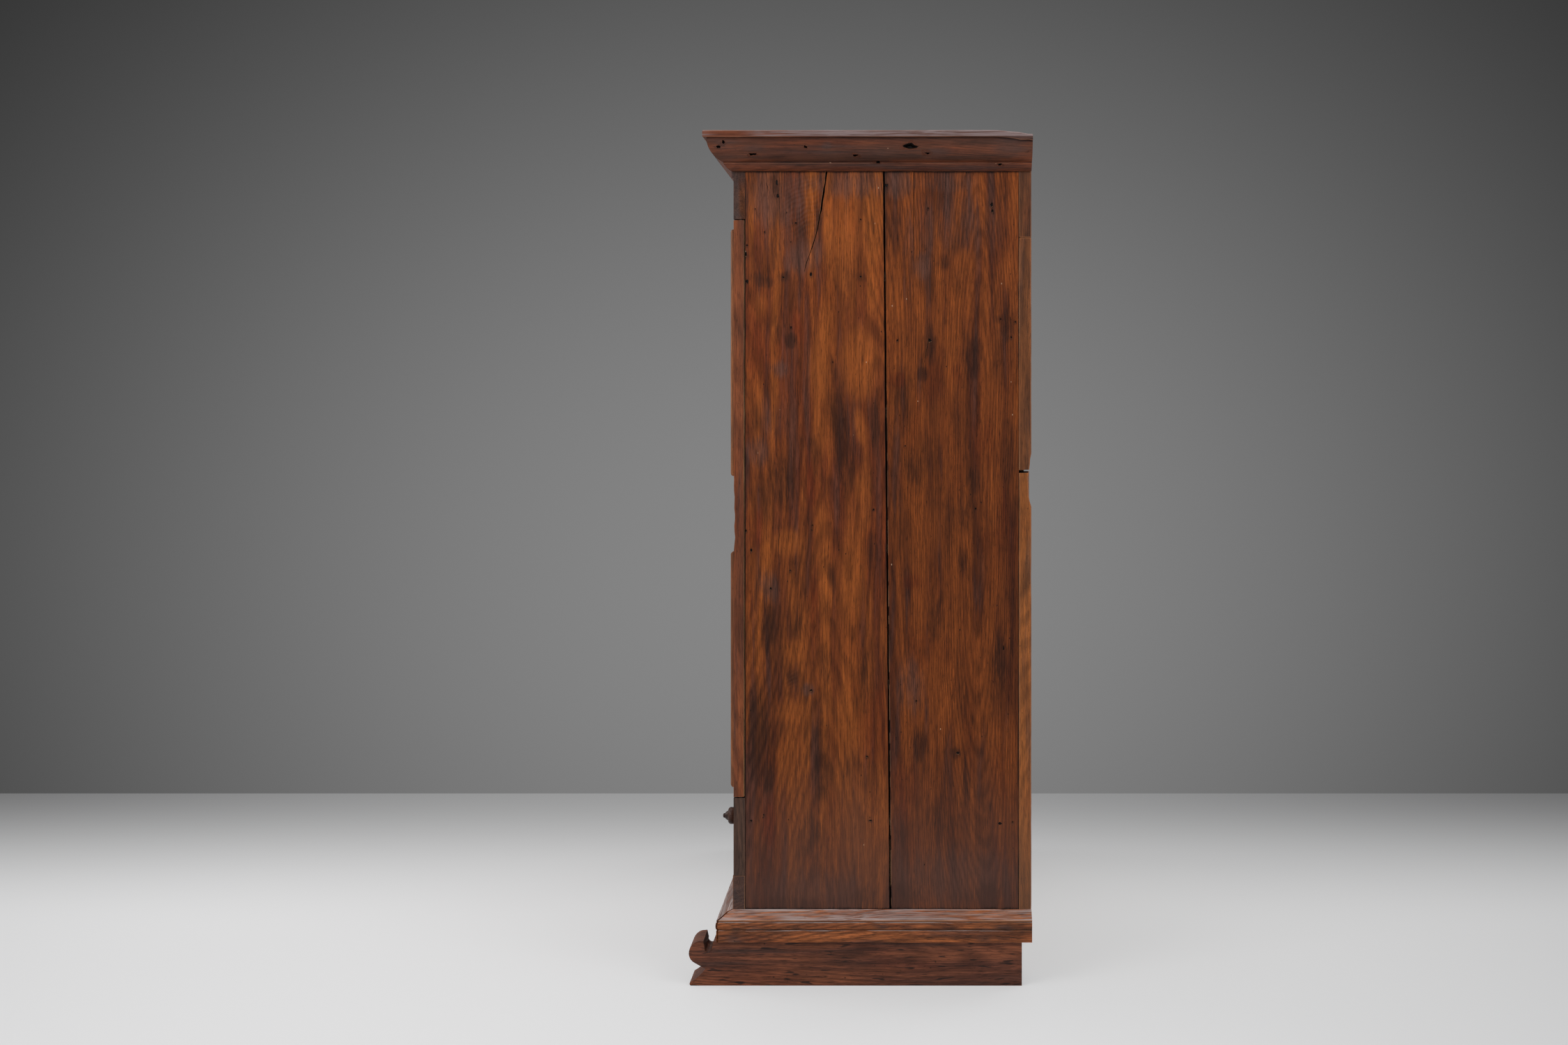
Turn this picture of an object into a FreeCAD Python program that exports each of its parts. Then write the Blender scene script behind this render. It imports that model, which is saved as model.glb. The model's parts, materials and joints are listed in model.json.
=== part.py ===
"""A tall two-door cupboard on scrolled sledge feet, with a drawer below the doors.

The case is nailed up from wide boards: two boards to each side, shelves let into grooves in the
sides, and a boarded back between two stiles. Frieze, rails and stiles are nailed to the front edges
of the sides, and the doors lie in front of them too, turning on iron pins top and bottom.

Millimetres. X runs to the right as one faces the doors, Y to the back, Z up.
"""

import FreeCAD, Part
import os

Vector = FreeCAD.Vector
os.makedirs("parts", exist_ok=True)

# The whole. Z = 0 is the floor and X = 0 the middle. While a piece is made, Y = 0 is the plane of
# the sides' front edges, and save() then moves it so that the origin is under the whole's centre.
HEIGHT = 1780.0
CASE_WIDTH = 1360.0
CASE_DEPTH = 600.0

# The bands of the front, from the floor up. The doors fill what these leave.
RUNNER_HEIGHT = 92.0
BASE_HEIGHT = 63.0
BOTTOM_RAIL_SHOWS = 70.0
DRAWER_OPENING_HEIGHT = 118.0
WAIST_RAIL_HEIGHT = 45.0
FRIEZE_SHOWS = 100.0
CORNICE_HEIGHT = 79.0

# Boards
SIDE_THICKNESS = 25.0
FRONT_THICKNESS = 24.0
SHELF_THICKNESS = 22.0
TOP_THICKNESS = 18.0
TOP_RIM = 5.0
BACK_STILE_THICKNESS = 26.0
BACK_STILE_WIDTH = 90.0
BACK_BOARD_THICKNESS = 15.0
BACK_BOARD_COUNT = 4
GROOVE_DEPTH = 8.0
RAIL_TENON_LENGTH = 26.0
RAIL_TENON_THICKNESS = 8.0
RAIL_TENON_SHOULDER = 8.0
SHRINKAGE_GAP = 0.8

# The open joint between a side's two boards leans, because the boards taper.
FRONT_BOARD_TOP_WIDTH = 289.0
FRONT_BOARD_BOTTOM_WIDTH = 304.0
SIDE_JOINT_GAP = 2.6

# The shelves stand at even heights between the cupboard's floor and the top boards.
FLOOR_ABOVE_OPENING = 6.0
SHELF_COUNT = 4
SHELF_SETBACK = 42.0
BOTTOM_BOARD_LIFT = 18.0

# The right rear stile is in three lengths, one above the other.
STILE_LOWER_LENGTH = 979.0
STILE_MIDDLE_LENGTH = 489.0
STILE_BREAK_GAP = 2.6

# Sledge feet
RUNNER_REACH = 116.0
RUNNER_THICKNESS = 97.0
RUNNER_PROUD = 20.0
RUNNER_REAR_SETBACK = 21.0
PLINTH_BOARD_THICKNESS = 22.0
PLINTH_BOARD_LIFT = 12.0
PLINTH_HOUSING = 8.0

# Mouldings
CORNICE_PROJECTION = 60.0
BED_STRIP_HEIGHT = 13.0
BED_STRIP_PROJECTION = 4.0
BASE_PROJECTION = 30.0
BASE_FRONT_STEP = 4.0
BOTTOM_RAIL_STEP = 1.5

# Doors
DOOR_GAP = 2.0
DOOR_MEETING_GAP = 3.0
DOOR_BACK_GAP = 0.5
PANEL_INSET = 18.0
LOCK_BAND_HEIGHT = 160.0
LOCK_BAND_SHARE = 0.49
MOULDING_WIDTH = 38.0
MOULDING_THICKNESS = 8.0
LEDGE_THICKNESS = 20.0
LEDGE_HEIGHT = 80.0
LEDGE_OUTER_INSET = 44.0
LEDGE_INNER_INSET = 40.0
LEDGE_HEIGHT_SHARES = (0.11, 0.61, 0.89)

# Door pivots: an iron strap let into the door's end carries a pin, and an iron plate in the frieze
# or the drawer stile takes it.
PIVOT_FROM_OUTSIDE = 6.0
PIVOT_FROM_BACK = 9.0
PIN_RADIUS = 3.0
PIN_RUNNING_GAP = 0.05
PIN_LENGTH = 12.0
PIN_END_GAP = 2.0
WOOD_HOLE_GAP = 0.6
STRAP_LENGTH = 60.0
STRAP_WIDTH = 12.0
STRAP_THICKNESS = 3.0
STRAP_END_INSET = 2.5
PLATE_LENGTH = 30.0
PLATE_THICKNESS = 2.5

# Lock, key and the left door's bolt
LOCK_CASE_LENGTH = 108.0
LOCK_CASE_HEIGHT = 74.0
LOCK_CASE_DEPTH = 16.0
LOCK_WALL = 2.0
LOCK_EDGE_INSET = 1.0
LOCK_BOLT_LENGTH = 98.0
LOCK_BOLT_HEIGHT = 14.0
LOCK_BOLT_DEPTH = 8.0
LOCK_BOLT_THROW = 14.0
LOCK_BOLT_RISE = 8.0
LOCK_GAP = 0.5
KEY_FROM_EDGE = 52.0
KEY_SHANK_RADIUS = 3.0
KEY_BIT_REACH = 13.0
KEY_BIT_THICKNESS = 3.0
KEY_BIT_LENGTH = 8.0
KEY_OUTSIDE_LENGTH = 22.0
KEY_BOW_RADIUS = 11.0
KEY_BOW_WIRE_RADIUS = 2.6
KEY_COLLAR_RADIUS = 4.5
KEY_COLLAR_LENGTH = 3.0
KEYHOLE_GAP = 1.5
KEYHOLE_WARD_WIDTH = 5.0
ESCUTCHEON_WIDTH = 34.0
ESCUTCHEON_HEIGHT = 62.0
ESCUTCHEON_THICKNESS = 1.6
DOOR_BOLT_LENGTH = 120.0
DOOR_BOLT_WIDTH = 12.0
DOOR_BOLT_THICKNESS = 6.0
DOOR_BOLT_FROM_EDGE = 20.0
DOOR_BOLT_LIFT = 3.0
DOOR_BOLT_GRIP = 16.0
STAPLE_WIRE = 4.0
STAPLE_FOOT = 9.0

# Drawer
DRAWER_STILE_WIDTH = 60.0
DRAWER_GAP = 2.0
DRAWER_DEPTH = 534.0
DRAWER_SIDE_THICKNESS = 14.0
DRAWER_SIDE_HEIGHT = 82.0
DRAWER_BOTTOM_THICKNESS = 10.0
DRAWER_REBATE = 12.0
RUNNING_GAP = 0.3
SUPPORT_WIDTH = 65.0
SUPPORT_HEIGHT = 30.0
GUIDE_HEIGHT = 70.0
GUIDE_GAP = 1.5
STOP_LENGTH = 24.0
STOP_HEIGHT = 40.0
KNOB_FROM_SIDE = 355.0
KNOB_PROJECTION = 53.0
KNOB_RADIUS = 19.0
KNOB_TENON_RADIUS = 7.0
KNOB_TENON_GAP = 0.1

# Every cut runs past the wood by this much, and points nearer than the second are one point.
OVERRUN = 5.0
SAME_POINT = 0.001
FULL_TURN = 360.0

# Outlines as shares of their own sizes. A pair of points is an arc: through the first, to the second.
CORNICE_SHARES = (
    (0.083, 0.0),
    ((0.19, 0.06), (0.333, 0.19)),
    (0.333, 0.215),
    ((0.69, 0.418), (0.867, 0.77)),
    (0.867, 0.82),
    (0.975, 0.82),
    ((0.992, 0.828), (1.0, 0.852)),
    (1.0, 0.962),
    ((0.985, 0.989), (0.95, 1.0)),
    (0.0, 1.0),
)
BASE_SHARES = (
    (0.95, 0.0),
    (0.95, 0.385),
    (0.9, 0.4),
    (0.9, 0.42),
    (0.965, 0.44),
    ((1.0, 0.545), (0.965, 0.65)),
    (0.905, 0.665),
    (0.905, 0.685),
    ((0.94, 0.71), (0.905, 0.735)),
    (0.86, 0.745),
    ((0.55, 0.845), (0.26, 0.955)),
    (0.05, 0.99),
    (0.0, 1.0),
)
DOOR_MOULDING_SHARES = (
    (0.0, 0.5),
    ((0.087, 0.867), (0.2, 1.0)),
    (0.42, 1.0),
    (0.46, 0.8),
    ((0.66, 0.62), (0.82, 0.36)),
    (0.88, 0.36),
    (1.0, 0.14),
    (1.0, 0.0),
)
# The scroll's first share is of the runner's reach in front of the case, its second of its height.
TOE_START_SHARES = (0.965, 0.0)
SCROLL_SHARES = (
    ((0.984, 0.03), (0.97, 0.08)),
    ((0.87, 0.16), (0.7, 0.38)),
    (0.9, 0.522),
    ((0.973, 0.608), (1.0, 0.73)),
    ((0.952, 0.905), (0.83, 1.005)),
    (0.742, 1.015),
    (0.715, 0.86),
    ((0.648, 0.745), (0.58, 0.86)),
    (0.556, 1.0),
)
# The knob's first share is of its projection, its second of its largest radius.
KNOB_SHARES = (
    (0.0, 0.72),
    (0.08, 0.72),
    ((0.26, 0.4), (0.45, 0.62)),
    ((0.51, 0.92), (0.62, 1.0)),
    ((0.72, 0.95), (0.78, 0.6)),
    (0.88, 0.42),
    (0.92, 0.27),
    ((0.975, 0.24), (1.0, 0.12)),
    (1.0, 0.0),
)
# The escutcheon's first share is of its width from the middle, its second of its height.
ESCUTCHEON_SHARES = (
    (0.5, 0.27),
    ((0.38, 0.5), (0.5, 0.73)),
    ((0.0, 1.0), (-0.5, 0.73)),
    ((-0.38, 0.5), (-0.5, 0.27)),
    ((0.0, 0.0), (0.5, 0.27)),
)

# Levels and planes that follow from the sizes above
HALF_WIDTH = CASE_WIDTH / 2
INSIDE = HALF_WIDTH - SIDE_THICKNESS
BASE_TOP = RUNNER_HEIGHT + BASE_HEIGHT
RAIL_TOP = BASE_TOP + BOTTOM_RAIL_SHOWS
OPENING_TOP = RAIL_TOP + DRAWER_OPENING_HEIGHT
WAIST_TOP = OPENING_TOP + WAIST_RAIL_HEIGHT
CORNICE_BOTTOM = HEIGHT - CORNICE_HEIGHT
FRIEZE_BOTTOM = CORNICE_BOTTOM - FRIEZE_SHOWS
SIDE_TOP = HEIGHT - TOP_RIM - TOP_THICKNESS
SIDE_REAR = CASE_DEPTH - BACK_STILE_THICKNESS
FLOOR_TOP = OPENING_TOP + FLOOR_ABOVE_OPENING
DOOR_BOTTOM = WAIST_TOP + DOOR_GAP
DOOR_TOP = FRIEZE_BOTTOM - DOOR_GAP
DOOR_HEIGHT = DOOR_TOP - DOOR_BOTTOM
LOCK_LEVEL = DOOR_BOTTOM + DOOR_HEIGHT * LOCK_BAND_SHARE
PIVOT_X = HALF_WIDTH - PIVOT_FROM_OUTSIDE
PIVOT_Y = -PIVOT_FROM_BACK
CENTRE_Y = (CASE_DEPTH - RUNNER_REACH) / 2


def box(x0, x1, y0, y1, z0, z1):
    """A block between two corners."""
    return Part.makeBox(x1 - x0, y1 - y0, z1 - z0, Vector(x0, y0, z0))


def outline(to_point, start, steps):
    """A closed face from a start point, lines to points and arcs through pairs of points."""
    edges = []
    last = to_point(*start)
    for step in steps:
        if isinstance(step[0], tuple):
            middle, end = (to_point(*point) for point in step)
            edges.append(Part.Arc(last, middle, end).toShape())
        else:
            end = to_point(*step)
            edges.append(Part.LineSegment(last, end).toShape())
        last = end
    first = to_point(*start)
    if last.distanceToPoint(first) > SAME_POINT:
        edges.append(Part.LineSegment(last, first).toShape())
    return Part.Face(Part.Wire(edges))


def prism(points, direction):
    """A straight block over a polygon."""
    return Part.Face(Part.makePolygon(points + points[:1])).extrude(direction)


def mirrored(shape):
    """The same piece on the other side of the middle."""
    return shape.mirror(Vector(0, 0, 0), Vector(1, 0, 0))


def save(name, *solids):
    """Write one node, moved so that the origin is under the centre of the whole."""
    placed = []
    for solid in solids:
        moved = solid.copy()
        moved.translate(Vector(0, -CENTRE_Y, 0))
        assert moved.isValid() and moved.Volume > 0, name
        placed.append(moved)
    whole = placed[0] if len(placed) == 1 else Part.makeCompound(placed)
    whole.exportStep("parts/%s.step" % name)


def save_pair(name, right):
    """Write a piece and its mirror image as NAME_right and NAME_left."""
    save(name + "_right", right)
    save(name + "_left", mirrored(right))


def strips(low, high, count, gap):
    """Share a width among boards laid edge to edge with a small gap."""
    width = (high - low - gap * (count - 1)) / count
    return [(low + i * (width + gap), low + i * (width + gap) + width) for i in range(count)]


def shelf_boards():
    """The boards let into the sides: name, front edge and underside of each."""
    floor_low = FLOOR_TOP - SHELF_THICKNESS
    levels = [("bottom_boards", 0, RUNNER_HEIGHT + BOTTOM_BOARD_LIFT), ("floor_boards", 0, floor_low)]
    pitch = (SIDE_TOP - floor_low) / (SHELF_COUNT + 1)
    for number in range(1, SHELF_COUNT + 1):
        levels.append(("shelf_%d" % number, SHELF_SETBACK, floor_low + pitch * number))
    return levels


def make_sides():
    """Two tapered boards to a side, standing on the runners, grooved inside for the shelves."""
    top, bottom = SIDE_TOP, RUNNER_HEIGHT
    front_edges = [(0, bottom), (FRONT_BOARD_BOTTOM_WIDTH, bottom), (FRONT_BOARD_TOP_WIDTH, top), (0, top)]
    rear_edges = [
        (FRONT_BOARD_BOTTOM_WIDTH + SIDE_JOINT_GAP, bottom),
        (SIDE_REAR, bottom),
        (SIDE_REAR, top),
        (FRONT_BOARD_TOP_WIDTH + SIDE_JOINT_GAP, top),
    ]
    grooves = [
        box(INSIDE - OVERRUN, INSIDE + GROOVE_DEPTH, front, SIDE_REAR + OVERRUN, low, low + SHELF_THICKNESS)
        for _, front, low in shelf_boards()
    ]
    for name, edges in (("side_front_board", front_edges), ("side_rear_board", rear_edges)):
        board = prism([Vector(INSIDE, y, z) for y, z in edges], Vector(SIDE_THICKNESS, 0, 0))
        save_pair(name, board.cut(grooves))


def make_shelves():
    """Each level is two planks whose ends sit in the sides' grooves."""
    reach = INSIDE + GROOVE_DEPTH
    for name, front, low in shelf_boards():
        planks = strips(front, SIDE_REAR, 2, SHRINKAGE_GAP)
        save(name, *[box(-reach, reach, y0, y1, low, low + SHELF_THICKNESS) for y0, y1 in planks])


def make_back():
    """Stiles over the rear edges of the sides, and vertical boards between them."""
    inner = HALF_WIDTH - BACK_STILE_WIDTH
    lengths = (
        ("lower", RUNNER_HEIGHT, RUNNER_HEIGHT + STILE_LOWER_LENGTH),
        (
            "middle",
            RUNNER_HEIGHT + STILE_LOWER_LENGTH + STILE_BREAK_GAP,
            RUNNER_HEIGHT + STILE_LOWER_LENGTH + STILE_BREAK_GAP + STILE_MIDDLE_LENGTH,
        ),
        (
            "upper",
            RUNNER_HEIGHT + STILE_LOWER_LENGTH + STILE_BREAK_GAP + STILE_MIDDLE_LENGTH,
            SIDE_TOP,
        ),
    )
    for name, low, high in lengths:
        save("rear_stile_right_" + name, box(inner, HALF_WIDTH, SIDE_REAR, CASE_DEPTH, low, high))
    save("rear_stile_left", box(-HALF_WIDTH, -inner, SIDE_REAR, CASE_DEPTH, RUNNER_HEIGHT, SIDE_TOP))
    rear = SIDE_REAR + BACK_BOARD_THICKNESS
    boards = strips(-inner, inner, BACK_BOARD_COUNT, SHRINKAGE_GAP)
    save("back_boards", *[box(x0, x1, SIDE_REAR, rear, RUNNER_HEIGHT, SIDE_TOP) for x0, x1 in boards])


def make_feet():
    """Runners sawn to a scroll in front, joined by a plinth board at the front and the rear."""
    inner = HALF_WIDTH + RUNNER_PROUD - RUNNER_THICKNESS
    rear = CASE_DEPTH - RUNNER_REAR_SETBACK

    def point(forward, up):
        return Vector(inner, -forward * RUNNER_REACH, up * RUNNER_HEIGHT)

    rear_share = -rear / RUNNER_REACH
    steps = (TOE_START_SHARES,) + SCROLL_SHARES + ((rear_share, 1.0),)
    runner = outline(point, (rear_share, 0.0), steps).extrude(Vector(RUNNER_THICKNESS, 0, 0))
    reach = inner + PLINTH_HOUSING
    low = PLINTH_BOARD_LIFT
    thick = PLINTH_BOARD_THICKNESS
    front = -FRONT_THICKNESS
    board_front = box(-reach, reach, front, front + thick, low, RUNNER_HEIGHT)
    board_rear = box(-reach, reach, SIDE_REAR - thick, SIDE_REAR, low, RUNNER_HEIGHT)
    save_pair("runner", runner.cut([board_front, board_rear]))
    save("plinth_board_front", board_front)
    save("plinth_board_rear", board_rear)


def make_moulding(name, shares, projection, height, low, face, front_step=0.0, bed=None):
    """Front and two returns of one section, mitred at the case's corners.

    face is the plane that the front length is nailed to. With a front step the front length stands
    that much further out than the returns, and its ends are sawn off flush with them.
    """
    far = projection + front_step + OVERRUN
    corner = Vector(HALF_WIDTH, face, low - OVERRUN)
    tall = Vector(0, 0, height + OVERRUN * 2)

    def front_point(out, up):
        step = front_step if out else 0
        return Vector(-HALF_WIDTH - far, face - out * projection - step, low + up * height)

    def side_point(out, up):
        return Vector(HALF_WIDTH + out * projection, face - far, low + up * height)

    front = outline(front_point, (0.0, 0.0), shares).extrude(Vector(CASE_WIDTH + far * 2, 0, 0))
    end = Vector(projection, -projection, 0)
    square = Vector(projection, -far, 0)
    right_points = [corner, corner + end, corner + square]
    left_points = [Vector(-p.x, p.y, p.z) for p in reversed(right_points)]
    front = front.common(prism(right_points + left_points, tall))
    if bed:
        front = front.fuse(bed).removeSplitter()
    save(name + "_front", front)

    side = outline(side_point, (0.0, 0.0), shares).extrude(Vector(0, CASE_DEPTH - face + far, 0))
    reach = Vector(far, -far, 0)
    rear_out = Vector(HALF_WIDTH + far, CASE_DEPTH, corner.z)
    rear_in = Vector(HALF_WIDTH, CASE_DEPTH, corner.z)
    side = side.common(prism([corner, corner + reach, rear_out, rear_in], tall))
    save_pair(name, side)


def make_mouldings():
    """Cornice around the top, base moulding above the runners."""
    face = -FRONT_THICKNESS
    low = CORNICE_BOTTOM
    bed = box(-HALF_WIDTH, HALF_WIDTH, face - BED_STRIP_PROJECTION, face, low - BED_STRIP_HEIGHT, low)
    make_moulding("cornice", CORNICE_SHARES, CORNICE_PROJECTION, CORNICE_HEIGHT, low, face, bed=bed)
    rail_face = face - BOTTOM_RAIL_STEP
    make_moulding(
        "base_moulding", BASE_SHARES, BASE_PROJECTION, BASE_HEIGHT, RUNNER_HEIGHT, rail_face, BASE_FRONT_STEP
    )


def socket_hole(end, up):
    """The bore for a door pin, from the plane of the wood's end, up or down."""
    bore = PIN_RADIUS + WOOD_HOLE_GAP
    depth = PIN_LENGTH + PIN_END_GAP - DOOR_GAP
    return Part.makeCylinder(bore, depth, Vector(PIVOT_X, PIVOT_Y, end), Vector(0, 0, up))


def socket_plate(end, up):
    """The iron plate let in flush there. up is 1 where the wood is above, -1 where it is below."""
    low, high = sorted((end, end + up * PLATE_THICKNESS))
    outer = HALF_WIDTH - STRAP_END_INSET
    half = STRAP_WIDTH / 2
    return box(outer - PLATE_LENGTH, outer, PIVOT_Y - half, PIVOT_Y + half, low, high)


def make_front():
    """Frieze, drawer stiles and rails, nailed over the front edges of the sides."""
    face = -FRONT_THICKNESS
    bored_up = [socket_hole(FRIEZE_BOTTOM, 1), socket_plate(FRIEZE_BOTTOM, 1)]
    frieze = box(-HALF_WIDTH, HALF_WIDTH, face, 0, FRIEZE_BOTTOM, SIDE_TOP)
    save("frieze_board", frieze.cut(bored_up + [mirrored(cut) for cut in bored_up]))

    inner = HALF_WIDTH - DRAWER_STILE_WIDTH
    reach = inner + RAIL_TENON_LENGTH
    cheek = (FRONT_THICKNESS - RAIL_TENON_THICKNESS) / 2
    low, high = OPENING_TOP + RAIL_TENON_SHOULDER, WAIST_TOP - RAIL_TENON_SHOULDER
    tenons = box(-reach, reach, face + cheek, -cheek, low, high)
    stile = box(inner, HALF_WIDTH, face, 0, RAIL_TOP, WAIST_TOP)
    save_pair("drawer_stile", stile.cut([socket_hole(WAIST_TOP, -1), socket_plate(WAIST_TOP, -1), tenons]))
    rail = box(-inner, inner, face, 0, OPENING_TOP, WAIST_TOP)
    save("waist_rail", rail.fuse(tenons).removeSplitter())
    rail_face = face - BOTTOM_RAIL_STEP
    save("bottom_rail", box(-HALF_WIDTH, HALF_WIDTH, rail_face, 0, RUNNER_HEIGHT, RAIL_TOP))

    bore = PIN_RADIUS + PIN_RUNNING_GAP
    plates = []
    for end, up in ((FRIEZE_BOTTOM, 1), (WAIST_TOP, -1)):
        hole = Part.makeCylinder(bore, PLATE_THICKNESS, Vector(PIVOT_X, PIVOT_Y, end), Vector(0, 0, up))
        plates.append(socket_plate(end, up).cut(hole))
    save("pivot_plates", *(plates + [mirrored(plate) for plate in plates]))


def make_top():
    """Three boards across the tops of the sides, inside the cornice."""
    rows = strips(-FRONT_THICKNESS, CASE_DEPTH, 3, SHRINKAGE_GAP)
    top = SIDE_TOP + TOP_THICKNESS
    save("top_boards", *[box(-HALF_WIDTH, HALF_WIDTH, y0, y1, SIDE_TOP, top) for y0, y1 in rows])


def moulding_frame(x0, x1, z0, z1, face):
    """Four mitred lengths of the door moulding around a rectangle, the thick edge outside."""
    def corners(x0, x1, z0, z1):
        return [(x0, z0), (x1, z0), (x1, z1), (x0, z1)]

    width = MOULDING_WIDTH
    outer = corners(x0, x1, z0, z1)
    inner = corners(x0 + width, x1 - width, z0 + width, z1 - width)
    deep = Vector(0, -MOULDING_THICKNESS - OVERRUN * 2, 0)
    sticks = []
    for i in range(len(outer)):
        start, end = (Vector(x, face, z) for x, z in (outer[i - 1], outer[i]))
        along = end - start
        inward = along.cross(Vector(0, 1, 0)).normalize()
        if inward.dot(Vector(inner[i][0], face, inner[i][1]) - end) < 0:
            inward = inward * -1

        def point(across, out):
            return start + inward * (across * width) - Vector(0, out * MOULDING_THICKNESS, 0)

        plan = [outer[i - 1], outer[i], inner[i], inner[i - 1]]
        mitred = prism([Vector(x, face + OVERRUN, z) for x, z in plan], deep)
        sticks.append(outline(point, (0.0, 0.0), DOOR_MOULDING_SHARES).extrude(along).common(mitred))
    return sticks


def pivot_strap(end, up):
    """The iron strap in a door's end and its pin. up is 1 at the top of the door, -1 below."""
    low, high = sorted((end, end - up * STRAP_THICKNESS))
    outer = HALF_WIDTH - STRAP_END_INSET
    half = STRAP_WIDTH / 2
    strap = box(outer - STRAP_LENGTH, outer, PIVOT_Y - half, PIVOT_Y + half, low, high)
    foot = Vector(PIVOT_X, PIVOT_Y, end - up * STRAP_THICKNESS)
    pin = Part.makeCylinder(PIN_RADIUS, STRAP_THICKNESS + PIN_LENGTH, foot, Vector(0, 0, up))
    return strap, strap.fuse(pin).removeSplitter()


def make_door(side, keyhole):
    """Two wide boards held by ledges, with applied mouldings that make two panels of the front.

    Made on the right and mirrored for the left. The outer rear edge is rounded around the pins, so
    that the door opens past a right angle without touching the side.
    """
    face = -FRONT_THICKNESS
    back = -DOOR_BACK_GAP
    inner = DOOR_MEETING_GAP / 2
    place = mirrored if side == "left" else (lambda shape: shape)
    straps = [pivot_strap(DOOR_BOTTOM, -1), pivot_strap(DOOR_TOP, 1)]

    rows = strips(inner, HALF_WIDTH, 2, SHRINKAGE_GAP)
    boards = [box(x0, x1, face, back, DOOR_BOTTOM, DOOR_TOP) for x0, x1 in rows]
    if keyhole:
        boards[0] = boards[0].cut(keyhole)
    rounded = [
        edge
        for edge in boards[1].Edges
        if edge.BoundBox.ZLength > DOOR_HEIGHT / 2
        and edge.BoundBox.XMin > HALF_WIDTH - PIVOT_FROM_OUTSIDE
        and edge.BoundBox.YMin > face / 2
    ]
    boards[1] = boards[1].makeFillet(PIVOT_FROM_OUTSIDE, rounded).cut([strap for strap, _ in straps])
    save("door_%s_inner_board" % side, place(boards[0]))
    save("door_%s_outer_board" % side, place(boards[1]))
    save("door_%s_pivots" % side, *[place(whole) for _, whole in straps])

    ledges = []
    for share in LEDGE_HEIGHT_SHARES:
        middle = DOOR_BOTTOM + DOOR_HEIGHT * share
        low, high = middle - LEDGE_HEIGHT / 2, middle + LEDGE_HEIGHT / 2
        x0, x1 = LEDGE_INNER_INSET, HALF_WIDTH - LEDGE_OUTER_INSET
        ledges.append(place(box(x0, x1, back, back + LEDGE_THICKNESS, low, high)))
    save("door_%s_ledges" % side, *ledges)

    x0, x1 = inner + PANEL_INSET, HALF_WIDTH - PANEL_INSET
    half_band = LOCK_BAND_HEIGHT / 2
    panels = (
        ("lower", DOOR_BOTTOM + PANEL_INSET, LOCK_LEVEL - half_band),
        ("upper", LOCK_LEVEL + half_band, DOOR_TOP - PANEL_INSET),
    )
    for name, z0, z1 in panels:
        sticks = moulding_frame(x0, x1, z0, z1, face)
        save("door_%s_%s_moulding" % (side, name), *[place(stick) for stick in sticks])


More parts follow.
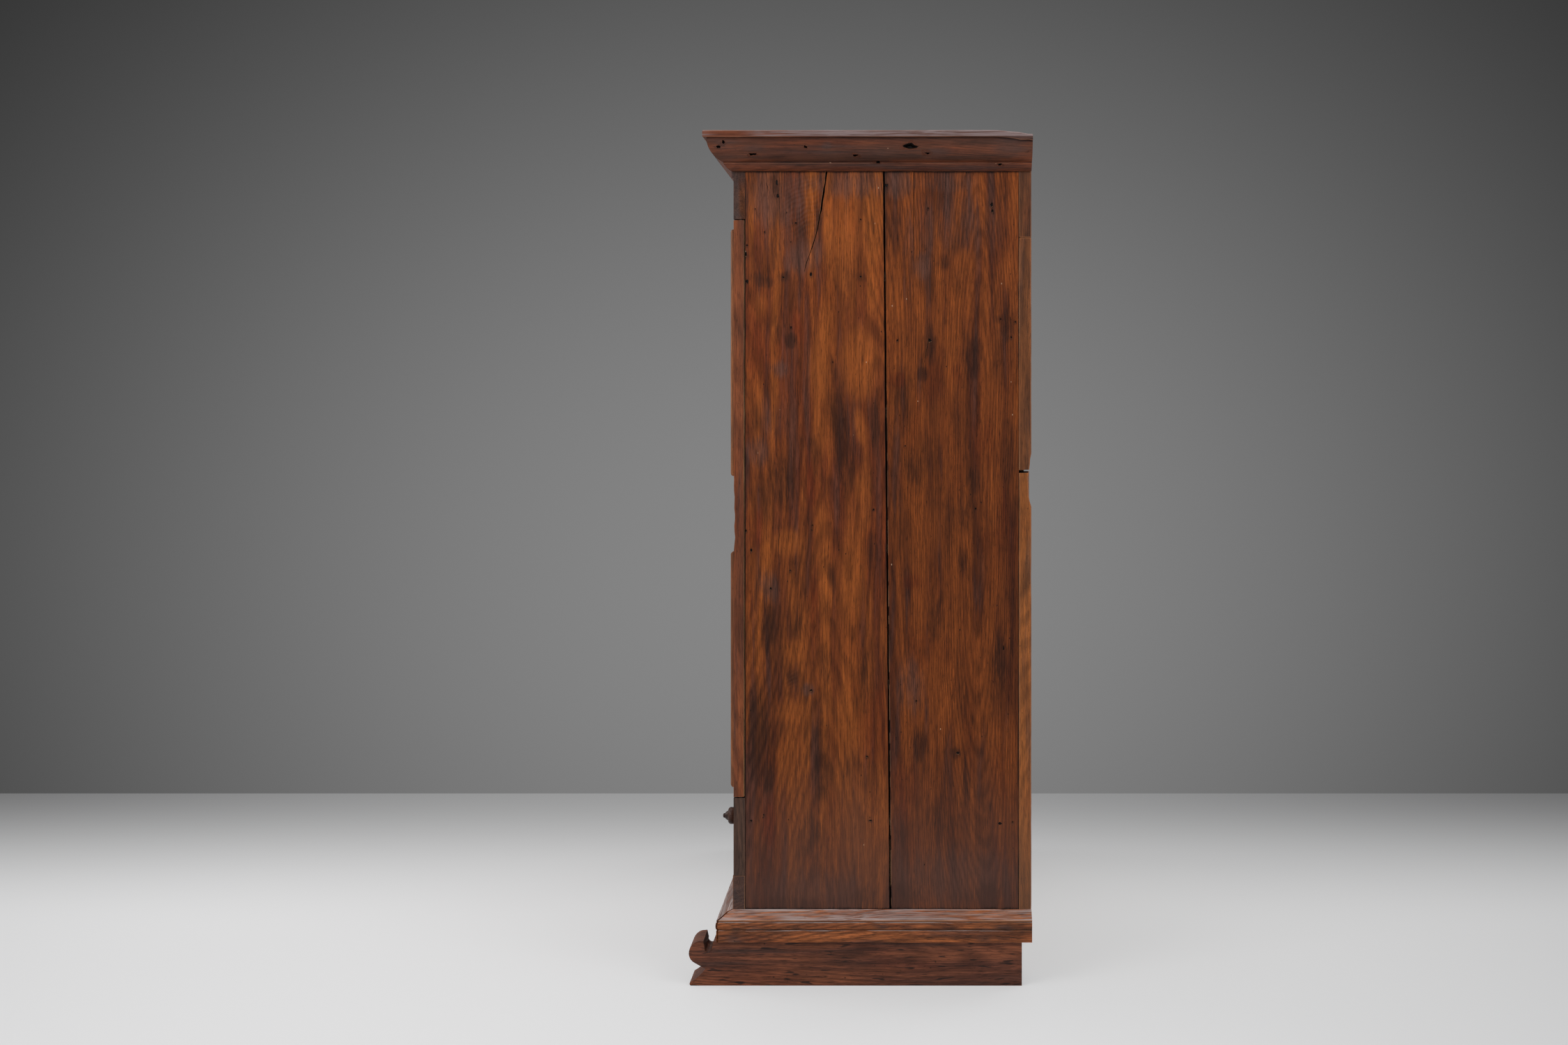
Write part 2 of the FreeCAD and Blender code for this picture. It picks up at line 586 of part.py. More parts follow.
def make_lock():
    """A box lock inside the right door, its bolt passing behind the left door, with key and plate."""
    back = -DOOR_BACK_GAP
    edge = DOOR_MEETING_GAP / 2 + LOCK_EDGE_INSET
    key_x = DOOR_MEETING_GAP / 2 + KEY_FROM_EDGE
    low, high = LOCK_LEVEL - LOCK_CASE_HEIGHT / 2, LOCK_LEVEL + LOCK_CASE_HEIGHT / 2
    rear = back + LOCK_CASE_DEPTH
    case = box(edge, edge + LOCK_CASE_LENGTH, back, rear, low, high)
    case = case.cut(
        box(
            edge + LOCK_WALL,
            edge + LOCK_CASE_LENGTH - LOCK_WALL,
            back - OVERRUN,
            rear - LOCK_WALL,
            low + LOCK_WALL,
            high - LOCK_WALL,
        )
    )
    bolt_y = back + (LOCK_CASE_DEPTH - LOCK_WALL - LOCK_BOLT_DEPTH) / 2
    bolt_z = LOCK_LEVEL + LOCK_BOLT_RISE
    slot = box(
        edge - OVERRUN,
        edge + LOCK_WALL + OVERRUN,
        bolt_y - LOCK_GAP,
        bolt_y + LOCK_BOLT_DEPTH + LOCK_GAP,
        bolt_z - LOCK_GAP,
        bolt_z + LOCK_BOLT_HEIGHT + LOCK_GAP,
    )
    guide_x = edge + LOCK_BOLT_LENGTH - LOCK_BOLT_THROW - STAPLE_WIRE - LOCK_GAP * 2
    guide_low = bolt_z - LOCK_GAP - STAPLE_WIRE
    guide_high = bolt_z + LOCK_BOLT_HEIGHT + LOCK_GAP
    guides = [
        box(guide_x, guide_x + STAPLE_WIRE, back, rear, guide, guide + STAPLE_WIRE)
        for guide in (guide_low, guide_high)
    ]
    save("lock_case", case.cut(slot).fuse(guides).removeSplitter())

    # The key's bit swings up into the notch and carries the bolt along.
    bolt_rear = bolt_y + LOCK_BOLT_DEPTH
    bolt = box(edge, edge + LOCK_BOLT_LENGTH, bolt_y, bolt_rear, bolt_z, bolt_z + LOCK_BOLT_HEIGHT)
    half_bit = KEY_BIT_THICKNESS / 2
    notch_left = key_x + LOCK_BOLT_THROW - half_bit - LOCK_GAP
    notch_right = key_x + LOCK_BOLT_THROW + KEY_BIT_REACH
    notch_top = LOCK_LEVEL + KEY_BIT_REACH + LOCK_GAP + half_bit
    notch = box(notch_left, notch_right, bolt_y - OVERRUN, bolt_rear + OVERRUN, bolt_z - OVERRUN, notch_top)
    save("lock_bolt", bolt.cut(notch))

    def along(y, length, radius):
        return Part.makeCylinder(radius, length, Vector(key_x, y, LOCK_LEVEL), Vector(0, 1, 0))

    face = -FRONT_THICKNESS
    bow_y = face - ESCUTCHEON_THICKNESS - KEY_OUTSIDE_LENGTH - KEY_BOW_RADIUS
    shank_start = bow_y + KEY_BOW_RADIUS
    shank_end = rear - LOCK_WALL - LOCK_GAP
    shank = along(shank_start, shank_end - shank_start, KEY_SHANK_RADIUS)
    collar_y = face - ESCUTCHEON_THICKNESS - KEY_OUTSIDE_LENGTH / 2
    collar = along(collar_y, KEY_COLLAR_LENGTH, KEY_COLLAR_RADIUS)
    bow_middle = Vector(key_x, bow_y, LOCK_LEVEL)
    bow = Part.makeTorus(KEY_BOW_RADIUS, KEY_BOW_WIRE_RADIUS, bow_middle, Vector(1, 0, 0))
    bit = box(
        key_x - half_bit,
        key_x + half_bit,
        bolt_y,
        bolt_y + KEY_BIT_LENGTH,
        LOCK_LEVEL - KEY_BIT_REACH,
        LOCK_LEVEL,
    )
    save("key", shank.fuse([collar, bow, bit]).removeSplitter())

    hole = along(face - OVERRUN, FRONT_THICKNESS + OVERRUN * 2, KEY_SHANK_RADIUS + KEYHOLE_GAP)
    ward_low = LOCK_LEVEL - KEY_BIT_REACH - KEYHOLE_GAP
    half_ward = KEYHOLE_WARD_WIDTH / 2
    ward = box(key_x - half_ward, key_x + half_ward, face - OVERRUN, OVERRUN, ward_low, LOCK_LEVEL)
    keyhole = hole.fuse(ward)

    def plate_point(across, up):
        return Vector(
            key_x + across * ESCUTCHEON_WIDTH,
            face,
            LOCK_LEVEL - KEY_BIT_REACH / 2 - ESCUTCHEON_HEIGHT / 2 + up * ESCUTCHEON_HEIGHT,
        )

    plate = outline(plate_point, ESCUTCHEON_SHARES[0], ESCUTCHEON_SHARES[1:])
    save("escutcheon", plate.extrude(Vector(0, -ESCUTCHEON_THICKNESS, 0)).cut(keyhole))
    return keyhole


def make_door_bolt():
    """A flat bolt inside the left door that drops behind the waist rail, in two staples."""
    back = -DOOR_BACK_GAP
    x1 = -DOOR_MEETING_GAP / 2 - DOOR_BOLT_FROM_EDGE
    x0 = x1 - DOOR_BOLT_WIDTH
    y0 = back + DOOR_BOLT_LIFT
    y1 = y0 + DOOR_BOLT_THICKNESS
    z0 = DOOR_BOTTOM + DOOR_GAP
    z1 = z0 + DOOR_BOLT_LENGTH
    grip_middle = (z0 + z1) / 2
    grip = box(
        x0 - DOOR_BOLT_GRIP, x0, y0, y1, grip_middle - DOOR_BOLT_WIDTH / 2, grip_middle + DOOR_BOLT_WIDTH / 2
    )
    save("door_left_bolt", box(x0, x1, y0, y1, z0, z1).fuse(grip).removeSplitter())

    staples = []
    for low in (z0 + STAPLE_FOOT * 2, z1 - STAPLE_FOOT * 2 - STAPLE_WIRE):
        high = low + STAPLE_WIRE
        outer = box(
            x0 - RUNNING_GAP - STAPLE_WIRE,
            x1 + RUNNING_GAP + STAPLE_WIRE,
            back,
            y1 + RUNNING_GAP + STAPLE_WIRE,
            low,
            high,
        )
        wide = RUNNING_GAP
        hollow = box(x0 - wide, x1 + wide, back - OVERRUN, y1 + wide, low - OVERRUN, high + OVERRUN)
        staples.append(outer.cut(hollow))
    save("door_left_staples", *staples)


def make_drawer():
    """A nailed drawer whose front fills the opening between the stiles, with two turned knobs."""
    face = -FRONT_THICKNESS
    half = HALF_WIDTH - DRAWER_STILE_WIDTH - DRAWER_GAP
    low, high = RAIL_TOP + DRAWER_GAP, OPENING_TOP - DRAWER_GAP
    bottom_top = low + DRAWER_BOTTOM_THICKNESS
    side_top = bottom_top + DRAWER_SIDE_HEIGHT
    rebate_y = -DRAWER_REBATE
    side_x = half - DRAWER_SIDE_THICKNESS
    middle = (low + high) / 2
    knob_x = HALF_WIDTH - KNOB_FROM_SIDE

    root = Vector(knob_x, face, middle)
    bore = Part.makeCylinder(KNOB_TENON_RADIUS, FRONT_THICKNESS + OVERRUN, root, Vector(0, 1, 0))
    front = box(-half, half, face, 0, low, high)
    end_rebate = box(side_x, half + OVERRUN, rebate_y, OVERRUN, bottom_top, side_top)
    bottom_rebate = box(-half - OVERRUN, half + OVERRUN, rebate_y, OVERRUN, low - OVERRUN, bottom_top)
    save("drawer_front", front.cut([end_rebate, mirrored(end_rebate), bottom_rebate, bore, mirrored(bore)]))
    save_pair("drawer_side", box(side_x, half, rebate_y, DRAWER_DEPTH, bottom_top, side_top))
    back_front = DRAWER_DEPTH - DRAWER_SIDE_THICKNESS
    save("drawer_back", box(-side_x, side_x, back_front, DRAWER_DEPTH, bottom_top, side_top))
    save("drawer_bottom", box(-half, half, rebate_y, DRAWER_DEPTH, low, bottom_top))

    def knob_point(out, radius):
        return Vector(knob_x + radius * KNOB_RADIUS, face - out * KNOB_PROJECTION, middle)

    section = outline(knob_point, (0.0, 0.0), KNOB_SHARES)
    knob = section.revolve(root, Vector(0, 1, 0), FULL_TURN)
    tenon = Part.makeCylinder(KNOB_TENON_RADIUS - KNOB_TENON_GAP, FRONT_THICKNESS, root, Vector(0, 1, 0))
    knob = knob.fuse(tenon).removeSplitter()
    save("drawer_knobs", knob, mirrored(knob))


def make_drawer_supports():
    """Battens nailed to the sides carry and guide the drawer, and blocks stop it."""
    top = RAIL_TOP + DRAWER_GAP - RUNNING_GAP
    half = HALF_WIDTH - DRAWER_STILE_WIDTH - DRAWER_GAP
    support = box(INSIDE - SUPPORT_WIDTH, INSIDE, 0, SIDE_REAR, top - SUPPORT_HEIGHT, top)
    save("drawer_runners", support, mirrored(support))
    guide = box(half + GUIDE_GAP, INSIDE, 0, SIDE_REAR, top, top + GUIDE_HEIGHT)
    save("drawer_guides", guide, mirrored(guide))
    stop_y = DRAWER_DEPTH + LOCK_GAP
    stop = box(INSIDE - SUPPORT_WIDTH, half + GUIDE_GAP, stop_y, stop_y + STOP_LENGTH, top, top + STOP_HEIGHT)
    save("drawer_stops", stop, mirrored(stop))


make_sides()
make_shelves()
make_back()
make_feet()
make_mouldings()
make_front()
make_top()
keyhole = make_lock()
make_door("right", keyhole)
make_door("left", None)
make_door_bolt()
make_drawer()
make_drawer_supports()
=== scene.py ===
import json
import math
import random

import bmesh
import bpy
import numpy as np
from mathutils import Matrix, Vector, noise


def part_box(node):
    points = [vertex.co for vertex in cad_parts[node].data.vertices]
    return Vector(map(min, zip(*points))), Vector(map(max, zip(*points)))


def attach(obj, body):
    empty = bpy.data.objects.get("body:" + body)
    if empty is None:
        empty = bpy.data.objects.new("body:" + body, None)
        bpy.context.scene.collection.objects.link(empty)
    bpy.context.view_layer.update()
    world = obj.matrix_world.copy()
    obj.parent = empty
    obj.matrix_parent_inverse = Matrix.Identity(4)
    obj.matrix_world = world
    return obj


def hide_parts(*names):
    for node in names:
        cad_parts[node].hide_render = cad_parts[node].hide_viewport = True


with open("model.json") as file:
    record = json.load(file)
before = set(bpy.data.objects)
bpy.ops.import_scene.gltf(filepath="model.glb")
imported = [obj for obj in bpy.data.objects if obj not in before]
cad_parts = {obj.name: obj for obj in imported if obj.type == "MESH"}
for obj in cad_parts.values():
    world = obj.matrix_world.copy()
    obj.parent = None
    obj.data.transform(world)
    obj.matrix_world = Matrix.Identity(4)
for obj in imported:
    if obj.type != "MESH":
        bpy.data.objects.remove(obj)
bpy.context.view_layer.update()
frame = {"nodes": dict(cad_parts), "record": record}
scene = bpy.context.scene

# The cupboard is looked at square on to its right side, from 4.45 m away and from 1.2 m above the
# floor. One pixel of the 2250 x 1500 picture is 1.46 mm on the plane of that side.
SIDE_PLANE = 0.680
PIXEL = 0.00146
PICTURE_WIDE, PICTURE_HIGH = 2250, 1500
EYE = Vector((SIDE_PLANE + 4.45, 0.104, 1.196))
EYE_PIXEL = (1306, 592)
DISTANCE = EYE.x - SIDE_PLANE
SENSOR = 36
camera = bpy.data.objects.new("camera", bpy.data.cameras.new("camera"))
camera.data.sensor_width = SENSOR
camera.data.lens = SENSOR * DISTANCE / (PIXEL * PICTURE_WIDE)
camera.data.shift_x = (PICTURE_WIDE / 2 - EYE_PIXEL[0]) / PICTURE_WIDE
camera.data.shift_y = (EYE_PIXEL[1] - PICTURE_HIGH / 2) / PICTURE_WIDE
camera.location = EYE
camera.rotation_euler = (math.pi / 2, 0, math.pi / 2)
scene.collection.objects.link(camera)
bpy.context.scene.camera = camera

# The studio: a pale floor and a grey wall 2.2 m behind the side, both painted with a pool of
# light that is brightest near the middle.
# The wall is seen from the front only, and lets light through, so that the left side is lit too.
WALL_X = SIDE_PLANE - 2.215
WALL_HALF, WALL_HIGH, FLOOR_HALF = 6, 3.6, 9
FLOOR_GLOW = 0.6


def tint(red, green, blue):
    """A colour read off a colour card, 0 to 255 each, as shaders want it."""
    return tuple(((part / 255 + 0.055) / 1.055) ** 2.4 for part in (red, green, blue)) + (1.0,)


class Paint:
    """A new material, with short names for the nodes that it is mixed from."""

    def __init__(self, name):
        self.material = bpy.data.materials.new(name)
        self.material.use_nodes = True
        self.tree = self.material.node_tree
        self.tree.nodes.clear()

    def put(self, kind, inputs=(), **settings):
        """Adds any node, with plain values or other nodes' outputs on its inputs."""
        made = self.tree.nodes.new("ShaderNode" + kind)
        for name, value in settings.items():
            setattr(made, name, value)
        for key, value in dict(inputs).items():
            if isinstance(value, bpy.types.NodeSocket):
                self.tree.links.new(value, made.inputs[key])
            else:
                made.inputs[key].default_value = value
        return made

    def calc(self, operation, *values):
        return self.put("Math", dict(enumerate(values)), operation=operation).outputs[0]

    def vector(self, operation, first, second):
        """Works on two vectors, or on a vector and a number where the operation is SCALE."""
        key = "Scale" if operation == "SCALE" else 1
        return self.put("VectorMath", {0: first, key: second}, operation=operation).outputs[0]

    def over(self, amount, below, above):
        return self.put("Mix", {0: amount, 6: below, 7: above}, data_type="RGBA").outputs[2]

    def ramp(self, value, low, high, most=1.0, least=0.0):
        """Eases from least, where the value is low, to most, where it is high."""
        inputs = {0: value, 1: low, 2: high, 3: least, 4: most}
        return self.put("MapRange", inputs, interpolation_type="SMOOTHSTEP").outputs[0]

    def layer(self, name):
        """A number that the mesh carries at each of its points or faces."""
        return self.put("Attribute", attribute_name=name).outputs["Fac"]

    def parts(self, vector):
        return self.put("SeparateXYZ", {0: vector}).outputs

    def finish(self, shader):
        self.put("OutputMaterial", {0: shader.outputs[0]})
        return self.material


def stage_sheet(name, corners, material):
    mesh = bpy.data.meshes.new(name)
    mesh.from_pydata(corners, [], [(0, 1, 2, 3)])
    mesh.materials.append(material)
    sheet = bpy.data.objects.new(name, mesh)
    scene.collection.objects.link(sheet)


def pool(paint, full, rim, centre, size):
    """A grey that is full at a spot and dims to rim away from it, like the light of a far lamp."""
    place = paint.put("NewGeometry").outputs["Position"]
    spot = paint.put("Mapping", {0: place, 1: centre, 3: size}, vector_type="TEXTURE").outputs[0]
    reach = paint.put("VectorMath", {0: spot}, operation="LENGTH").outputs["Value"]
    fall = paint.calc("MULTIPLY", paint.calc("POWER", reach, 2.2), -1.0)
    return paint.over(paint.calc("EXPONENT", fall), tint(rim, rim, rim), tint(full, full, full))


floor = Paint("floor_paint")
near = pool(floor, 217, 160, (0, -0.5, 0), (90, 2.8, 1))
far = pool(floor, 148, 78, (0, -0.4, 0), (90, 2.4, 1))
depth = floor.parts(floor.put("NewGeometry").outputs["Position"])["X"]
colour = floor.over(floor.ramp(depth, -1.65, 0.2), far, near)
# The floor glows to the camera: painted light that lightens the cupboard's shadow on it.
painted = floor.put("BsdfDiffuse", {0: colour}).outputs[0]
glowing = floor.put("Emission", {0: colour, 1: 1.0}).outputs[0]
share = floor.calc("MULTIPLY", floor.put("LightPath").outputs["Is Camera Ray"], FLOOR_GLOW)
floor_paint = floor.finish(floor.put("MixShader", {0: share, 1: painted, 2: glowing}))
corners = [(FLOOR_HALF * x, FLOOR_HALF * y, 0) for x, y in ((-1, -1), (1, -1), (1, 1), (-1, 1))]
stage_sheet("floor", corners, floor_paint)

wall = Paint("wall_paint")
colour = pool(wall, 133, 26, (WALL_X, -0.22, 0.632), (1, 2.5, 1.97))
# The wall is only a glow: a painted pool of light.
glowing = wall.put("Emission", {0: colour, 1: 1.0}).outputs[0]
rays = wall.put("LightPath").outputs
seen = wall.calc("MAXIMUM", rays["Is Camera Ray"], rays["Is Glossy Ray"])
clear = wall.put("BsdfTransparent").outputs[0]
front = wall.put("MixShader", {0: seen, 1: clear, 2: glowing}).outputs[0]
behind = wall.put("NewGeometry").outputs["Backfacing"]
wall_paint = wall.finish(wall.put("MixShader", {0: behind, 1: front, 2: clear}))
corners = [(WALL_X, y, z) for y, z in ((-WALL_HALF, 0), (WALL_HALF, 0), (WALL_HALF, WALL_HIGH),
                                       (-WALL_HALF, WALL_HIGH))]
stage_sheet("wall", corners, wall_paint)

scene.view_settings.view_transform = "Standard"
world = bpy.data.worlds.new("studio")
scene.world = world
world.use_nodes = True
world.node_tree.nodes["Background"].inputs["Color"].default_value = (0.96, 0.97, 1, 1)
world.node_tree.nodes["Background"].inputs["Strength"].default_value = 0.6


def lamp(name, place, target, size, power, colour=(1, 1, 1)):
    data = bpy.data.lights.new(name, "AREA")
    data.shape = "RECTANGLE"
    data.size, data.size_y = size
    data.energy = power
    data.color = colour
    made = bpy.data.objects.new(name, data)
    made.location = place
    made.rotation_euler = (Vector(target) - Vector(place)).to_track_quat("-Z", "Y").to_euler()
    scene.collection.objects.link(made)


lamp("lamp_front_high", (3.2, -2.6, 3.1), (0.6, 0, 0.9), (2.2, 2.2), 58, (1, 0.98, 0.96))
lamp("lamp_rear_high", (3.0, 2.8, 3.0), (0.6, 0.1, 0.9), (2.0, 2.0), 42, (0.98, 0.99, 1))
lamp("lamp_top", (0.2, 0, 4.2), (0, 0, 0), (3.2, 3.2), 50)
lamp("lamp_front", (-1.2, -4.2, 2.6), (0, 0, 0.9), (2.4, 2.0), 52)
lamp("lamp_back", (-2.6, 3.4, 2.8), (0, 0, 0.9), (2.4, 2.0), 46)
lamp("lamp_left", (-4.4, -0.6, 2.4), (-0.6, 0, 0.9), (2.2, 2.0), 40)

# The sledge feet: two heavy runners of dark, scuffed wood, sawn to a scroll in front of the case
# and standing on the floor, with a board housed between them at the front and the rear.
bodies = frame["record"]["behaviour"]["bodies"]
body_of = {part: body for body, parts in bodies.items() for part in parts}
HANDS = ("right", 1), ("left", -1)
SAWN_APART = (31.0, 17.0, 53.0)


def waxed(name, grain, *palette, seed=None, marks=False, grimy=0.4, gloss=(0.34, 0.56),
          relief=1.0, pale_arris=(150, 96, 62), fleck=1.0, patchy=1.0, gashes=0.0, polish=0.2,
          dust_and_sheen=None, dust_and_sheen_above=None, dust_and_sheen_least=0.03, dirty_below=None, painted_light_heights=None):
    """Old waxed wood, or raw wood where the palette is pale and the gloss weak.

    grain is the axis that the fibres follow. The palette is two main tones, the bright and the
    deep one, the shade of its dark patches and the grime of the greyed film on it. Each board has
    a seed, which is the place in the tree that it was sawn from. painted_light_heights is the pair
    of heights between which the wood is painted from darker to lighter, as painted light from
    above.
    """
    bright, deep, shade, grime = (tint(*colour) for colour in palette)
    red = tuple(part * factor for part, factor in zip(deep, (1.35, 0.98, 0.7))) + (1.0,)
    paint = Paint(name)
    put, calc, over, ramp, vector = paint.put, paint.calc, paint.over, paint.ramp, paint.vector

    def grains(where, across, along, detail=2.0, roughness=0.5):
        """Noise drawn out along the grain: so many waves to the metre across it and along it."""
        scaled = vector("MULTIPLY", where, (across, across, along))
        inputs = {"Vector": scaled, "Scale": 1.0, "Detail": detail, "Roughness": roughness}
        return put("TexNoise", inputs).outputs

    # The wood is looked up with its grain upright, at its board's own place in the tree, and the
    # grain sways.
    place = paint.parts(put("TexCoord").outputs["Object"])
    order = {"x": "YZX", "y": "XZY", "z": "YXZ"}[grain]
    turned = put("CombineXYZ", dict(enumerate(place[letter] for letter in order))).outputs[0]
    if seed is None:
        number = paint.layer("board")
        own = vector("ADD", turned, vector("SCALE", SAWN_APART, number))
    else:
        own = vector("ADD", turned, [part * seed for part in SAWN_APART])
    sway = vector("SUBTRACT", grains(own, 4.0, 1.9, 3.0)["Color"], (0.5, 0.5, 0.5))
    bent = vector("ADD", own, vector("MULTIPLY", sway, (0.026, 0.026, 0.0)))
    drift = grains(bent, 11, 1.3)[0]
    streaks = grains(bent, 48, 3.4, 3.0, 0.55)[0]
    blots = grains(bent, 21, 6.5, 3.0, 0.55)[0]
    ember = put("SeparateColor", {0: grains(bent, 15, 4.5, 3.0)["Color"]}).outputs[2]
    fibres = grains(bent, 330, 33, 3.0, 0.6)[0]
    dashes = grains(bent, 620, 52, 2.0, 0.55)[0]
    specks = grains(own, 230, 120)[0]
    lines = grains(bent, 430, 8.0, 3.0, 0.62)[0]
    age = grains(bent, 3.2, 0.42, 1.0)[0]
    age = calc("MULTIPLY_ADD", age, 95.0, calc("MULTIPLY", fibres, 0.35))
    rings = calc("SINE", calc("MULTIPLY", age, math.tau))

    # The main tones, with redder and darker patches, the film of grime, and darker end grain.
    tone = calc("MULTIPLY_ADD", drift, 0.5, calc("MULTIPLY", streaks, 0.5))
    if seed is None:
        lot = calc("PINGPONG", calc("MULTIPLY", number, 7.0), 1.0)
        tone = calc("MULTIPLY_ADD", lot, 0.24, calc("SUBTRACT", tone, 0.12))
    colour = over(ramp(tone, 0.38, 0.62), bright, deep)
    colour = over(ramp(ember, 0.5, 0.7, 0.36 * patchy), colour, red)
    colour = over(ramp(blots, 0.46, 0.78, 0.6 * patchy), colour, shade)
    colour = over(ramp(streaks, 0.54, 0.74, grimy), colour, grime)
    facing = paint.parts(put("TexCoord").outputs["Normal"])[grain.upper()]
    colour = over(ramp(calc("ABSOLUTE", facing), 0.85, 0.96, 0.72), colour, grime)
    if gashes:
        gash = grains(bent, 150, 24, 1.0)[0]
        colour = over(ramp(gash, 0.63, 0.72, gashes), colour, tint(28, 19, 16))

    # The marks at their own places, frayed along the grain.
    if marks:
        layers = put("Attribute", attribute_name="marks").outputs
        parts = put("SeparateColor", {0: layers["Color"]}).outputs
        uneven = calc("MULTIPLY_ADD", streaks, 1.1, calc("MULTIPLY", fibres, 0.9))
        uneven = calc("SUBTRACT", uneven, 1.0)
        kinds = ((layers["Alpha"], red, 0.65), (parts[2], grime, 0.62), (parts[0], shade, 0.66),
                 (parts[1], bright, 0.8))
        for amount, above, most in kinds:
            spread = calc("MULTIPLY_ADD", uneven, 1.5, amount)
            spread = calc("MULTIPLY", ramp(spread, -0.1, 1.0, most), ramp(amount, 0.0, 0.5))
            colour = over(spread, colour, above)

    # The fine fleck: fibres, pore lines, short dashes, rings and specks make it lighter and darker.
    factor = ramp(fibres, 0.3, 0.7, 1.0 - 0.15 * fleck, 1.0 + 0.17 * fleck)
    for value, low, high, most, least in (
            (lines, 0.32, 0.68, 1.0 - 0.24 * fleck, 1.0 + 0.22 * fleck),
            (dashes, 0.5, 0.72, 1.0 - 0.42 * fleck, 1.0),
            (rings, -0.6, 1.0, 1.0 - 0.2 * fleck, 1.0 + 0.06 * fleck),
            (specks, 0.68, 0.78, 0.5, 1.0)):
        factor = calc("MULTIPLY", factor, ramp(value, low, high, most, least))
    # Painted light from above: lighter high on the board, darker low down.
    if painted_light_heights:
        level = calc("MULTIPLY_ADD", drift, 0.3, place["Z"])
        factor = calc("MULTIPLY", factor, ramp(level, *painted_light_heights, 1.14, 0.83))
    colour = vector("SCALE", colour, factor)
    if dirty_below:
        low = calc("MULTIPLY_ADD", calc("SUBTRACT", drift, 0.5), 0.25, place["Z"])
        film = over(0.45, grime, colour)
        colour = over(ramp(low, dirty_below, dirty_below * 0.3, 0.95), colour, film)

    # Worm holes, and pale nicks painted as glints of light, one to a cell of 25 by 45 mm at most.
    cells = vector("MULTIPLY", own, (40.0, 40.0, 22.0))
    cells = put("TexVoronoi", {"Vector": cells, "Scale": 1.0}).outputs
    close = ramp(cells["Distance"], 0.05, 0.03)
    lot = put("SeparateColor", {0: cells["Color"]}).outputs[0]
    worm = calc("MULTIPLY", close, calc("GREATER_THAN", lot, 0.5))
    colour = over(calc("MULTIPLY", worm, 0.85), colour, tint(22, 15, 12))
    nick = calc("MULTIPLY", close, calc("LESS_THAN", lot, 0.3))
    colour = over(calc("MULTIPLY", nick, 0.7), colour, tint(186, 150, 122))

    # Dirt along a board's edges and painted shade at its ends, arrises painted pale as wear and
    # highlight, hollows painted dark as dirt and shade, and dust with painted sheen on top.
    if marks:
        # Darker along the rim: dirt at the edges, painted shade at the ends.
        dirt = calc("MULTIPLY_ADD", uneven, 0.8, paint.layer("rim"))
        colour = over(ramp(dirt, 0.1, 0.9), colour, tint(20, 12, 10))
    wear_and_light = paint.layer("wear_and_light")
    rubbed = calc("MULTIPLY", ramp(wear_and_light, 0.15, 1.0), ramp(blots, 0.36, 0.6, 0.85, 0.2))
    colour = over(calc("MULTIPLY", rubbed, 0.7), colour, tint(*pale_arris))
    colour = over(ramp(wear_and_light, -0.1, -1.0, 0.85), colour, tint(24, 15, 13))
    # Dust on upward faces, which also paints the sheen on the base moulding's slope and the
    # cornice's lip.
    if dust_and_sheen:
        lies = ramp(paint.parts(put("NewGeometry").outputs["Normal"])["Z"], 0.66, 0.93)
        if dust_and_sheen_above:
            lies = calc("MAXIMUM", lies, ramp(place["Z"], dust_and_sheen_above, dust_and_sheen_above + 0.002))
        settled = calc("ADD", calc("MULTIPLY", lines, 0.9), calc("MULTIPLY", streaks, 0.3))
        lies = calc("MULTIPLY", lies, ramp(settled, 0.49, 0.7, 0.92, dust_and_sheen_least))
        if marks:
            lies = calc("MULTIPLY", lies, ramp(parts[1], 0.1, 0.8, 0.0, 1.0))
        colour = over(lies, colour, tint(*dust_and_sheen))

    # The relief of the grain, with the saw's ripples where the mesh has them, and the wax's gloss.
    height = calc("MULTIPLY_ADD", fibres, 0.36, calc("MULTIPLY", blots, 0.9))
    height = calc("MULTIPLY_ADD", lines, 0.3, height)
    height = calc("ADD", height, calc("MULTIPLY", dashes, -0.2))
    height = calc("SUBTRACT", height, calc("MULTIPLY", worm, 0.8))
    if marks:
        slant = calc("MULTIPLY_ADD", place["Z"], 640.0, calc("MULTIPLY", place["Y"], -260.0))
        jitter = calc("MULTIPLY", grains(own, 26, 15, 1.0)[0], 16.0)
        crest = calc("SINE", calc("ADD", slant, jitter))
        height = calc("MULTIPLY_ADD", calc("MULTIPLY", crest, paint.layer("ripple")), 0.3, height)
    bump = put("Bump", {"Height": height, "Strength": 0.7 * relief, "Distance": 0.0011}).outputs[0]
    dull = calc("ADD", drift, calc("MULTIPLY", fibres, 0.4))
    shine = put("MapRange", {0: dull, 1: 0.45, 2: 0.95, 3: gloss[0], 4: gloss[1]}).outputs[0]
    return paint.finish(put("BsdfPrincipled", {"Base Color": colour, "Roughness": shine,
                                               "Normal": bump, "Specular IOR Level": polish}))


def arc_points(first, middle, last, parts):
    """Points on the arc through three, without the first."""
    a, b, c = (complex(*point) for point in (first, middle, last))
    w = (c - a) / (b - a)
    if abs(w.imag) < 1e-9:
        return [last]
    centre = (b - a) * (w - abs(w) ** 2) / (2j * w.imag) + a
    start, through, end = (math.atan2((p - centre).imag, (p - centre).real) for p in (a, b, c))
    turn = (end - start) % math.tau
    if (through - start) % math.tau > turn:
        turn -= math.tau
    radius = abs(a - centre)
    angles = [start + turn * (i + 1) / parts for i in range(parts)]
    return [(centre.real + radius * math.cos(t), centre.imag + radius * math.sin(t))
            for t in angles]


